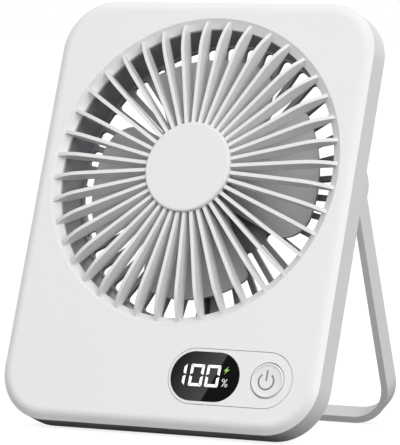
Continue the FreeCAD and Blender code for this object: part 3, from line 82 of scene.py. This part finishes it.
def add_node(tree, kind, settings=None, links=None):
    """Adds a node, sets its properties or sockets, and links named sockets to other nodes' outputs."""
    node = tree.nodes.new(kind)
    for name, setting in (settings or {}).items():
        if isinstance(name, str) and hasattr(node, name):
            setattr(node, name, setting)
        else:
            node.inputs[name].default_value = setting
    for name, source in (links or {}).items():
        tree.links.new(source, node.inputs[name])
    return node


def new_material(name):
    """An empty material that a section fills with nodes."""
    material = bpy.data.materials.new(name)
    material.use_nodes = True
    material.node_tree.nodes.clear()
    return material, material.node_tree


world = bpy.data.worlds.new("studio_world")
bpy.context.scene.world = world
world.use_nodes = True
tree = world.node_tree
tree.nodes.clear()
path = add_node(tree, "ShaderNodeLightPath")
seen = add_node(tree, "ShaderNodeMath", {"operation": "MAXIMUM"},
                {0: path.outputs["Is Camera Ray"], 1: path.outputs["Is Transmission Ray"]})
sky = add_node(tree, "ShaderNodeBackground", {"Color": linear("#ffffff"), "Strength": 0.84})
backdrop = add_node(tree, "ShaderNodeBackground", {"Color": linear("#ffffff"), "Strength": 1.0})
both = add_node(tree, "ShaderNodeMixShader",
                links={0: seen.outputs[0], 1: sky.outputs[0], 2: backdrop.outputs[0]})
add_node(tree, "ShaderNodeOutputWorld", links={"Surface": both.outputs[0]})

bpy.ops.mesh.primitive_plane_add(size=30, location=(0, 0, 0))
floor = bpy.context.active_object
floor.name = "studio_floor"
floor_paint, tree = new_material("painted_studio_floor")
path = add_node(tree, "ShaderNodeLightPath")
seen = add_node(tree, "ShaderNodeMath", {"operation": "MAXIMUM"},
                {0: path.outputs["Is Camera Ray"], 1: path.outputs["Is Transmission Ray"]})
glow_level = add_node(tree, "ShaderNodeMath", {"operation": "MULTIPLY", 1: 0.8}, {0: seen.outputs[0]})
tone = add_node(tree, "ShaderNodeMix",
                {"data_type": "RGBA", 6: linear("#4a4a4a"), 7: linear("#a0a0a0")}, {0: seen.outputs[0]})
paint = add_node(tree, "ShaderNodeBsdfDiffuse", links={"Color": tone.outputs[2]})
glow = add_node(tree, "ShaderNodeEmission", {"Color": linear("#ffffff")},
                {"Strength": glow_level.outputs[0]})
both = add_node(tree, "ShaderNodeAddShader", links={0: paint.outputs[0], 1: glow.outputs[0]})
add_node(tree, "ShaderNodeOutputMaterial", links={"Surface": both.outputs[0]})
floor.data.materials.append(floor_paint)

fan_middle = Vector((0, 0, 0.09))
softbox_width = 0.9
for name, spot, power in (("side_softbox", (1.6, -1.2, 0.6), 16.0),
                          ("front_softbox", (-0.6, -1.4, 1.1), 4.5)):
    lamp_data = bpy.data.lights.new(name, "AREA")
    lamp_data.size = softbox_width
    lamp_data.energy = power
    lamp = bpy.data.objects.new(name, lamp_data)
    bpy.context.scene.collection.objects.link(lamp)
    lamp.location = spot
    lamp.rotation_euler = (fan_middle - lamp.location).to_track_quat("-Z", "Y").to_euler()
bpy.ops.object.select_all(action="DESELECT")


# The housing: front and rear shells and the folding stand, injection-moulded
# in white ABS from spark-eroded moulds, which leaves a fine satin grain.
def moulded_plastic(name, colour, roughness, grain_mm=0.4, depth_mm=0.02):
    """ABS as it comes from a mould: slight flow marks in its tone and a fine grain in its gloss."""
    material, tree = new_material(name)
    place = add_node(tree, "ShaderNodeTexCoord")
    grain = add_node(tree, "ShaderNodeTexNoise", {"Scale": 1000 / grain_mm, "Detail": 2.0},
                     {"Vector": place.outputs["Object"]})
    flow = add_node(tree, "ShaderNodeTexNoise", {"Scale": 22.0, "Detail": 2.0},
                    {"Vector": place.outputs["Object"]})
    full = linear(colour)
    deeper = (full[0] * 0.975, full[1] * 0.975, full[2] * 0.975, 1.0)
    tone = add_node(tree, "ShaderNodeMix", {"data_type": "RGBA", 6: full, 7: deeper},
                    {0: flow.outputs["Fac"]})
    gloss = add_node(tree, "ShaderNodeMapRange",
                     {"To Min": roughness - 0.06, "To Max": roughness + 0.06},
                     {"Value": grain.outputs["Fac"]})
    bump = add_node(tree, "ShaderNodeBump", {"Strength": 0.15, "Distance": depth_mm / 1000},
                    {"Height": grain.outputs["Fac"]})
    plastic = add_node(tree, "ShaderNodeBsdfPrincipled", {"IOR": 1.53},
                       {"Base Color": tone.outputs[2], "Roughness": gloss.outputs[0],
                        "Normal": bump.outputs[0]})
    add_node(tree, "ShaderNodeOutputMaterial", links={"Surface": plastic.outputs[0]})
    return material


def dress(node, material):
    """Gives a CAD node its finish."""
    for slot in frame["nodes"][node].material_slots:
        slot.material = material


white_abs = moulded_plastic("moulded_white_abs", "#eeeeee", 0.42)
for node in ("front_shell", "rear_shell", "stand"):
    dress(node, white_abs)


# The front grille: one white moulding of a sloping ring, forty upright ribs
# with half-round front edges, and a round seat in the middle. Each rib runs
# level from the seat and bows down to the ring.
fan_up = 0.0172
fan_place = housing_place @ Matrix.Translation((0, fan_up, 0))
smooth_below = math.radians(35)


def lathe(name, profile, steps, place):
    """Turns a closed (radius, height) profile in metres about the z axis, and seats it at a place."""
    mesh = bpy.data.meshes.new(name)
    piece = bpy.data.objects.new(name, mesh)
    bpy.context.scene.collection.objects.link(piece)
    outline = bmesh.new()
    corners = [outline.verts.new((radius, 0, height)) for radius, height in profile]
    for index, corner in enumerate(corners):
        outline.edges.new((corner, corners[(index + 1) % len(corners)]))
    outline.to_mesh(mesh)
    outline.free()
    bpy.ops.object.select_all(action="DESELECT")
    piece.select_set(True)
    bpy.context.view_layer.objects.active = piece
    bpy.ops.object.mode_set(mode="EDIT")
    bpy.ops.mesh.select_all(action="SELECT")
    bpy.ops.mesh.spin(steps=steps, angle=2 * math.pi, center=(0, 0, 0), axis=(0, 0, 1))
    bpy.ops.mesh.select_all(action="SELECT")
    bpy.ops.mesh.remove_doubles(threshold=0.000002)
    bpy.ops.mesh.dissolve_degenerate(threshold=0.000001)
    bpy.ops.mesh.select_all(action="SELECT")
    bpy.ops.mesh.normals_make_consistent(inside=False)
    bpy.ops.object.mode_set(mode="OBJECT")
    piece.matrix_world = place
    bpy.ops.object.transform_apply(location=True, rotation=True, scale=True)
    bpy.ops.object.shade_smooth_by_angle(angle=smooth_below)
    return piece


rib_count, rib_width, rib_rounding = 40, 0.0015, 0.0006
rib_root, rib_bend, rib_tip = 0.0160, 0.0500, 0.0642
rib_front, rib_back, rib_tip_back = 0.0036, -0.0026, -0.00335
ring_outside, ring_inside, ring_fall = 0.0654, 0.0616, 0.0027
rib_fall = rib_front + (ring_outside - rib_tip) * ring_fall / (ring_outside - ring_inside)
bow_radius = ((rib_tip - rib_bend) ** 2 + rib_fall ** 2) / (2 * rib_fall)
level_share = 0.4


def rib_front_at(reach):
    """The height of a rib's front edge at a distance from the axis: level, then bowed down."""
    past = max(0.0, reach - rib_bend)
    return rib_front - bow_radius + math.sqrt(bow_radius ** 2 - past ** 2)


bpy.ops.mesh.primitive_grid_add(x_subdivisions=20, y_subdivisions=1, size=1)
rib = bpy.context.active_object
rib.name = "grille_rib"
bpy.ops.object.mode_set(mode="EDIT")
shape = bmesh.from_edit_mesh(rib.data)
for vertex in shape.verts:
    share = vertex.co.x + 0.5
    if share < level_share:
        reach = rib_root + (rib_bend - rib_root) * share / level_share
    else:
        bow_share = (share - level_share) / (1 - level_share)
        reach = rib_bend + (rib_tip - rib_bend) * math.sin(bow_share * math.pi / 2)
    back = rib_back + (rib_tip_back - rib_back) * (reach - rib_root) / (rib_tip - rib_root)
    vertex.co = Vector((reach, -rib_width / 2, rib_front_at(reach) if vertex.co.y > 0 else back))
bmesh.update_edit_mesh(rib.data)
bpy.ops.mesh.select_all(action="SELECT")
bpy.ops.mesh.extrude_region_move(TRANSFORM_OT_translate={"value": (0, rib_width, 0)})
bpy.ops.mesh.select_all(action="SELECT")
bpy.ops.mesh.normals_make_consistent(inside=False)
bpy.ops.mesh.select_all(action="DESELECT")
shape = bmesh.from_edit_mesh(rib.data)
for edge in shape.edges:
    ends = [vertex.co for vertex in edge.verts]
    along = abs(ends[0].y - ends[1].y) < 1e-7
    foremost = all(end.z > rib_front_at(end.x) - 1e-6 for end in ends)
    edge.select_set(along and foremost)
bmesh.update_edit_mesh(rib.data)
bpy.ops.mesh.bevel(offset=rib_rounding, segments=4, profile=0.5, clamp_overlap=True)
bpy.ops.object.mode_set(mode="OBJECT")

ribs = []
rib_step = 360 / rib_count
for number in range(rib_count):
    copy = rib.copy()
    copy.data = rib.data.copy()
    bpy.context.scene.collection.objects.link(copy)
    copy.matrix_world = fan_place @ Matrix.Rotation(math.radians(rib_step * (number + 0.5)), 4, "Z")
    ribs.append(copy)
bpy.data.objects.remove(rib)
bpy.ops.object.select_all(action="DESELECT")
for copy in ribs:
    copy.select_set(True)
bpy.context.view_layer.objects.active = ribs[0]
bpy.ops.object.transform_apply(location=True, rotation=True, scale=True)
bpy.ops.object.join()
radial_grille = bpy.context.active_object
radial_grille.name = "radial_grille"
bpy.ops.object.shade_smooth_by_angle(angle=math.radians(35))

ring_profile = [(ring_outside, 0.0), (ring_inside, -ring_fall), (ring_inside, -0.004),
                (0.067, -0.004), (0.067, -0.0022), (ring_outside, -0.0022)]
seat_profile = [(0.0, 0.00365), (0.0182, 0.00365), (0.0182, 0.0006), (0.0, 0.0006)]
ring = lathe("grille_ring", ring_profile, 160, fan_place)
seat = lathe("grille_seat", seat_profile, 96, fan_place)
bpy.ops.object.select_all(action="DESELECT")
for piece in (ring, seat, radial_grille):
    piece.select_set(True)
bpy.context.view_layer.objects.active = radial_grille
bpy.ops.object.join()
grille_abs = moulded_plastic("moulded_grille_abs", "#ececec", 0.4, grain_mm=0.3, depth_mm=0.01)
radial_grille.data.materials.append(grille_abs)
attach(radial_grille, "housing")
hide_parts("front_grille")
dress("grille_cap", grille_abs)


# The fan frame: duct, slotted guard and motor plate in one grey moulding, set
# in the rear shell. It is glossier and darker than the housing; its grey is partly
# painted shade, darkened to stand in for the shade inside the duct.
# Partly painted shade: this grey is darker than the moulding's own tone, to give the shade inside the
# duct.
duct_grey_with_painted_shade = moulded_plastic("moulded_grey_abs_painted_shade", "#8b8d90", 0.3, grain_mm=0.5, depth_mm=0.01)
dress("fan_frame", duct_grey_with_painted_shade)
dress("motor_base", duct_grey_with_painted_shade)


# The impeller: a hub cup and four broad blades in one moulding of pale grey
# ABS, polished so that the air slips past it. Its grey is partly painted shade,
# darkened to stand in for the shade behind the grille.
# Partly painted shade: the blade colour is darker than the moulding's own tone, to give the shade
# behind the grille.
blade_plastic_painted_shade = moulded_plastic("moulded_blade_abs_painted_shade", "#b0b1b3", 0.3, grain_mm=0.5, depth_mm=0.008)
dress("impeller", blade_plastic_painted_shade)


# The motor in the hub: pressed steel can, ferrite ring, laminated core with
# enamelled copper coils, a ground steel shaft and its sintered bronze bush.
def worked_metal(name, colour, roughness, mark_mm, stretch=(1, 1, 1), metallic=1.0):
    """Bare metal whose tool marks or pores vary its gloss and raise its surface slightly."""
    material, tree = new_material(name)
    place = add_node(tree, "ShaderNodeTexCoord")
    drawn = add_node(tree, "ShaderNodeMapping", {"Scale": stretch}, {"Vector": place.outputs["Object"]})
    marks = add_node(tree, "ShaderNodeTexNoise", {"Scale": 1000 / mark_mm, "Detail": 3.0},
                     {"Vector": drawn.outputs[0]})
    gloss = add_node(tree, "ShaderNodeMapRange",
                     {"To Min": roughness - 0.08, "To Max": roughness + 0.1},
                     {"Value": marks.outputs["Fac"]})
    full = linear(colour)
    duller = (full[0] * 0.85, full[1] * 0.85, full[2] * 0.85, 1.0)
    tone = add_node(tree, "ShaderNodeMix", {"data_type": "RGBA", 6: duller, 7: full},
                    {0: marks.outputs["Fac"]})
    bump = add_node(tree, "ShaderNodeBump", {"Strength": 0.2, "Distance": 0.00003},
                    {"Height": marks.outputs["Fac"]})
    metal = add_node(tree, "ShaderNodeBsdfPrincipled", {"Metallic": metallic},
                     {"Base Color": tone.outputs[2], "Roughness": gloss.outputs[0],
                      "Normal": bump.outputs[0]})
    add_node(tree, "ShaderNodeOutputMaterial", links={"Surface": metal.outputs[0]})
    return material


pressed_steel = worked_metal("plated_pressed_steel", "#b4b6b8", 0.32, 0.6)
for node in ("rotor_can", "motor_shaft", "pivot_pins"):
    dress(node, pressed_steel)
dress("rotor_magnet", worked_metal("sintered_ferrite", "#3c3c3f", 0.65, 0.3, metallic=0.2))
dress("stator_core",
      worked_metal("stacked_silicon_steel", "#7d8084", 0.5, 0.35, stretch=(0.1, 1, 1)))
dress("stator_coils",
      worked_metal("enamelled_copper_wire", "#b8622e", 0.28, 0.25, stretch=(1, 0.15, 0.15)))
dress("motor_bush", worked_metal("sintered_bronze", "#9c7646", 0.55, 0.2))


# The screws: cold-headed steel that taps its own thread in the mouldings. The
# zinc plating gives them a dull grey shine with fine pits.
plated_screw = worked_metal("zinc_plated_screw_steel", "#a9abad", 0.35, 0.25)
for node in ("shell_screws", "frame_screws", "motor_screws", "board_screws"):
    dress(node, plated_screw)


# The electronics: glass-fibre boards under green solder mask, the black
# display module, the tact switch and the charging socket in steel.
def solder_mask(name, colour):
    """Solder mask over woven glass: glossy, with the faint weave and darker copper areas below it."""
    material, tree = new_material(name)
    place = add_node(tree, "ShaderNodeTexCoord")
    weave = add_node(tree, "ShaderNodeTexWave", {"Scale": 1000 / 3.0, "Distortion": 0.6},
                     {"Vector": place.outputs["Object"]})
    areas = add_node(tree, "ShaderNodeTexVoronoi", {"Scale": 1000 / 4.0},
                     {"Vector": place.outputs["Object"]})
    full = linear(colour)
    copper_below = (full[0] * 1.35, full[1] * 1.3, full[2] * 1.2, 1.0)
    step = add_node(tree, "ShaderNodeMath", {"operation": "GREATER_THAN", 1: 0.5},
                    {0: areas.outputs["Distance"]})
    tone = add_node(tree, "ShaderNodeMix", {"data_type": "RGBA", 6: full, 7: copper_below},
                    {0: step.outputs[0]})
    bump = add_node(tree, "ShaderNodeBump", {"Strength": 0.1, "Distance": 0.00002},
                    {"Height": weave.outputs["Fac"]})
    mask = add_node(tree, "ShaderNodeBsdfPrincipled", {"Roughness": 0.3},
                    {"Base Color": tone.outputs[2], "Normal": bump.outputs[0]})
    add_node(tree, "ShaderNodeOutputMaterial", links={"Surface": mask.outputs[0]})
    return material


green_board = solder_mask("green_solder_mask", "#1d5c36")
for node in ("sensor_board", "main_board", "charge_board"):
    dress(node, green_board)
black_abs = moulded_plastic("moulded_black_abs", "#141415", 0.45)
for node in ("display_module", "button_switch", "switch_plunger"):
    dress(node, black_abs)
dress("charge_socket",
      worked_metal("drawn_stainless_steel", "#c2c4c6", 0.28, 0.5, stretch=(1, 1, 0.1)))


# The cell: a flat lithium pouch in crinkled aluminium laminate, held by a
# strip of open-cell foam, with its leads in soft black insulation.
def crumpled_foil(name, colour):
    """Aluminium laminate: silvery, with soft creases some millimetres apart."""
    material, tree = new_material(name)
    place = add_node(tree, "ShaderNodeTexCoord")
    creases = add_node(tree, "ShaderNodeTexVoronoi",
                       {"feature": "DISTANCE_TO_EDGE", "Scale": 1000 / 9.0},
                       {"Vector": place.outputs["Object"]})
    bump = add_node(tree, "ShaderNodeBump", {"Strength": 0.25, "Distance": 0.0003},
                    {"Height": creases.outputs["Distance"]})
    gloss = add_node(tree, "ShaderNodeMapRange", {"To Min": 0.42, "To Max": 0.3, "From Max": 0.2},
                     {"Value": creases.outputs["Distance"]})
    foil = add_node(tree, "ShaderNodeBsdfPrincipled", {"Base Color": linear(colour), "Metallic": 0.9},
                    {"Roughness": gloss.outputs[0], "Normal": bump.outputs[0]})
    add_node(tree, "ShaderNodeOutputMaterial", links={"Surface": foil.outputs[0]})
    return material


dress("battery_cell", crumpled_foil("aluminium_laminate", "#b3b5b8"))
dress("battery_foam",
      moulded_plastic("open_cell_foam", "#4a4a4c", 0.9, grain_mm=0.5, depth_mm=0.3))
lead_insulation = moulded_plastic("silicone_insulation", "#1b1b1c", 0.5,
                                  grain_mm=0.3, depth_mm=0.01)
for node in ("motor_lead", "battery_lead", "charge_lead"):
    dress(node, lead_insulation)
dress("pivot_washers",
      moulded_plastic("turned_nylon", "#e2dfd5", 0.5, grain_mm=0.3, depth_mm=0.01))


# The control panel: a satin ABS insert in the face, snapped in from behind.
# On its left lies the tinted acrylic window of the charge display.
dress("control_panel", white_abs)
# Polished smoked acrylic: near black, with a painted reflection, a grey sheen that
# grows to the right and ends at a slanting edge.
window_material, tree = new_material("tinted_acrylic_window_painted_reflection")
place = add_node(tree, "ShaderNodeTexCoord")
across = add_node(tree, "ShaderNodeMapping",
                  {"vector_type": "TEXTURE", "Location": housing_place.translation,
                   "Rotation": (math.pi / 2 - lean, 0, 0)},
                  {"Vector": place.outputs["Object"]})
split = add_node(tree, "ShaderNodeSeparateXYZ", links={"Vector": across.outputs[0]})
slant = add_node(tree, "ShaderNodeMath",
                 {"operation": "MULTIPLY_ADD", 1: -0.4443, 2: -0.05615}, {0: split.outputs["Y"]})
beyond = add_node(tree, "ShaderNodeMath", {"operation": "ADD"},
                  {0: split.outputs["X"], 1: slant.outputs[0]})
fade = add_node(tree, "ShaderNodeMapRange", {"From Min": -0.0205, "From Max": 0.0005},
                {"Value": beyond.outputs[0]})
# Painted reflection: the ramp lightens the black towards the slanting edge, standing in for a
# reflection on the acrylic.
painted_reflection_ramp = add_node(tree, "ShaderNodeValToRGB", links={"Fac": fade.outputs[0]})
painted_reflection_ramp.color_ramp.elements[0].color = linear("#141415")
painted_reflection_ramp.color_ramp.elements[1].color = linear("#040404")
painted_reflection_edge = painted_reflection_ramp.color_ramp.elements.new(0.965)
painted_reflection_edge.color = linear("#48494a")
acrylic = add_node(tree, "ShaderNodeBsdfPrincipled", {"Roughness": 0.12, "Specular IOR Level": 0.03},
                   {"Base Color": painted_reflection_ramp.outputs[0]})
add_node(tree, "ShaderNodeOutputMaterial", links={"Surface": acrylic.outputs[0]})
dress("display_window", window_material)


# The charge display: white seven-segment figures that read 100, a green bolt
# and a grey percent sign, lit from behind through the window's clear marks.
ink_depth = 0.00003


def printed_shape(name, corners, height):
    """A flat shape on the face, from its corners in millimetres, raised by the ink's thickness."""
    mesh = bpy.data.meshes.new(name)
    shape = bpy.data.objects.new(name, mesh)
    bpy.context.scene.collection.objects.link(shape)
    flat = bmesh.new()
    flat.faces.new([flat.verts.new((x / 1000, y / 1000, height)) for x, y in corners])
    flat.to_mesh(mesh)
    flat.free()
    bpy.ops.object.select_all(action="DESELECT")
    shape.select_set(True)
    bpy.context.view_layer.objects.active = shape
    bpy.ops.object.mode_set(mode="EDIT")
    bpy.ops.mesh.select_all(action="SELECT")
    bpy.ops.mesh.extrude_region_move(TRANSFORM_OT_translate={"value": (0, 0, -ink_depth)})
    bpy.ops.mesh.select_all(action="SELECT")
    bpy.ops.mesh.normals_make_consistent(inside=False)
    bpy.ops.object.mode_set(mode="OBJECT")
    shape.matrix_world = housing_place
    bpy.ops.object.transform_apply(location=True, rotation=True, scale=True)
    return shape


def joined(name, shapes):
    """Several shapes made one object."""
    bpy.ops.object.select_all(action="DESELECT")
    for shape in shapes:
        shape.select_set(True)
    bpy.context.view_layer.objects.active = shapes[0]
    bpy.ops.object.join()
    shapes[0].name = name
    return shapes[0]


def lit_mark(name, colour, strength):
    """A clear mark in the window with a lamp behind it: its own colour, glowing a little unevenly."""
    material, tree = new_material(name)
    place = add_node(tree, "ShaderNodeTexCoord")
    spots = add_node(tree, "ShaderNodeTexNoise", {"Scale": 1000 / 1.5},
                     {"Vector": place.outputs["Object"]})
    level = add_node(tree, "ShaderNodeMapRange",
                     {"To Min": strength * 0.9, "To Max": strength * 1.1},
                     {"Value": spots.outputs["Fac"]})
    mark = add_node(tree, "ShaderNodeBsdfPrincipled",
                    {"Base Color": linear(colour), "Roughness": 0.3,
                     "Emission Color": linear(colour)},
                    {"Emission Strength": level.outputs[0]})
    add_node(tree, "ShaderNodeOutputMaterial", links={"Surface": mark.outputs[0]})
    return material


figure_width, figure_height, bar, cut = 6.04, 9.04, 1.2, 0.16
figure_foot, figure_slant = -72.42, math.tan(math.radians(1.9))
waist = figure_height / 2
left_upper = [(0, figure_height - cut), (bar, figure_height - bar - cut),
              (bar, waist + 0.75), (0, waist + 0.23)]
top_bar = [(cut, figure_height), (bar + cut, figure_height - bar),
           (figure_width - bar - cut, figure_height - bar), (figure_width - cut, figure_height)]
right_upper = [(figure_width - x, y) for x, y in left_upper]
left_lower = [(x, figure_height - y) for x, y in left_upper]
right_lower = [(figure_width - x, figure_height - y) for x, y in left_upper]
bottom_bar = [(x, figure_height - y) for x, y in top_bar]
one = (right_upper, right_lower)
zero = (top_bar, left_upper, right_upper, left_lower, right_lower, bottom_bar)
window_front = -0.00006
segments = []
for left, strokes in ((6.86, one), (14.68, zero), (21.93, zero)):
    for stroke in strokes:
        corners = [(left + x + y * figure_slant, figure_foot + y) for x, y in stroke]
        segments.append(printed_shape("display_segment", corners, window_front))
figures = joined("display_figures", segments)
figures.data.materials.append(lit_mark("white_lit_segment", "#f2f5f5", 0.35))
bolt_corners = [(31.715, -63.47), (29.57, -65.52), (30.70, -65.61), (29.876, -66.96),
                (32.113, -64.91), (30.95, -64.82)]
bolt = printed_shape("display_bolt", bolt_corners, window_front)
bolt.data.materials.append(lit_mark("green_lit_bolt", "#8ac43a", 0.2))
percent_stroke = [(29.6, -71.8), (31.55, -68.7), (31.95, -68.95), (30.0, -72.05)]
marks = [printed_shape("display_percent", percent_stroke, window_front)]
ring_hole, ring_edge = 0.00032, 0.0007
percent_profile = [(ring_hole, 0), (ring_edge, 0), (ring_edge, -ink_depth), (ring_hole, -ink_depth)]
for x, y in ((30.15, -69.4), (31.55, -71.4)):
    spot = housing_place @ Matrix.Translation((x / 1000, y / 1000, window_front))
    marks.append(lathe("display_percent_ring", percent_profile, 24, spot))
percent = joined("display_percent", marks)
percent.data.materials.append(lit_mark("grey_lit_mark", "#c9cccc", 0.1))
for piece in (figures, bolt, percent):
    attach(piece, "housing")


# The power button: a turned cap with a raised rim round a shallow dish, which
# slides in the panel on its lip and presses the switch through its stem.
button_x, button_y = 0.0494, -0.0683
button_place = housing_place @ Matrix.Translation((button_x, button_y, 0))
dish_and_rim = [(0.0, 0.00005), (0.0055, 0.00005), (0.006, 0.00012), (0.0062, 0.00034),
                (0.0063, 0.0004), (0.0066, 0.0004), (0.0069, 0.0003), (0.00705, 0.00012)]
side_and_lip = [(0.0071, -0.0002), (0.0072, -0.0012), (0.0072, -0.003525), (0.0084, -0.003525)]
back_and_stem = [(0.0084, -0.004225), (0.0016, -0.004225), (0.0016, -0.004625), (0.0, -0.004625)]
button = lathe("push_button", dish_and_rim + side_and_lip + back_and_stem, 96, button_place)
button_abs = moulded_plastic("moulded_button_abs", "#e9e9e9", 0.38, grain_mm=0.3, depth_mm=0.01)
button.data.materials.append(button_abs)
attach(button, "button")
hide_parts("power_button")


# The power symbol: an open ring and an upright bar, pad-printed in grey on
# the button's dish, so it moves with the button.
icon_x, icon_y, icon_radius, icon_stroke, icon_gap = 48.97, -68.68, 3.3, 0.7, 38
dish_ink = 0.00008
arc_steps = 48
turns = [math.radians(90 + icon_gap + (360 - 2 * icon_gap) * step / arc_steps)
         for step in range(arc_steps + 1)]
outer_arc = [(icon_x + (icon_radius + icon_stroke / 2) * math.cos(turn),
              icon_y + (icon_radius + icon_stroke / 2) * math.sin(turn)) for turn in turns]
inner_arc = [(icon_x + (icon_radius - icon_stroke / 2) * math.cos(turn),
              icon_y + (icon_radius - icon_stroke / 2) * math.sin(turn)) for turn in reversed(turns)]
symbol_ring = printed_shape("power_symbol_ring", outer_arc + inner_arc, dish_ink)
half, top, bottom = icon_stroke / 2, -64.35, -68.2
round_top = [(icon_x + half * math.cos(math.radians(turn)),
              top + half * math.sin(math.radians(turn))) for turn in range(0, 181, 30)]
round_bottom = [(icon_x + half * math.cos(math.radians(turn)),
                 bottom + half * math.sin(math.radians(turn))) for turn in range(180, 361, 30)]
symbol_bar = printed_shape("power_symbol_bar", round_top + round_bottom, dish_ink)
symbol = joined("power_symbol", [symbol_ring, symbol_bar])
grey_ink = moulded_plastic("grey_pad_printing_ink", "#7c7e80", 0.5, grain_mm=0.3, depth_mm=0.005)
symbol.data.materials.append(grey_ink)
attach(symbol, "button")
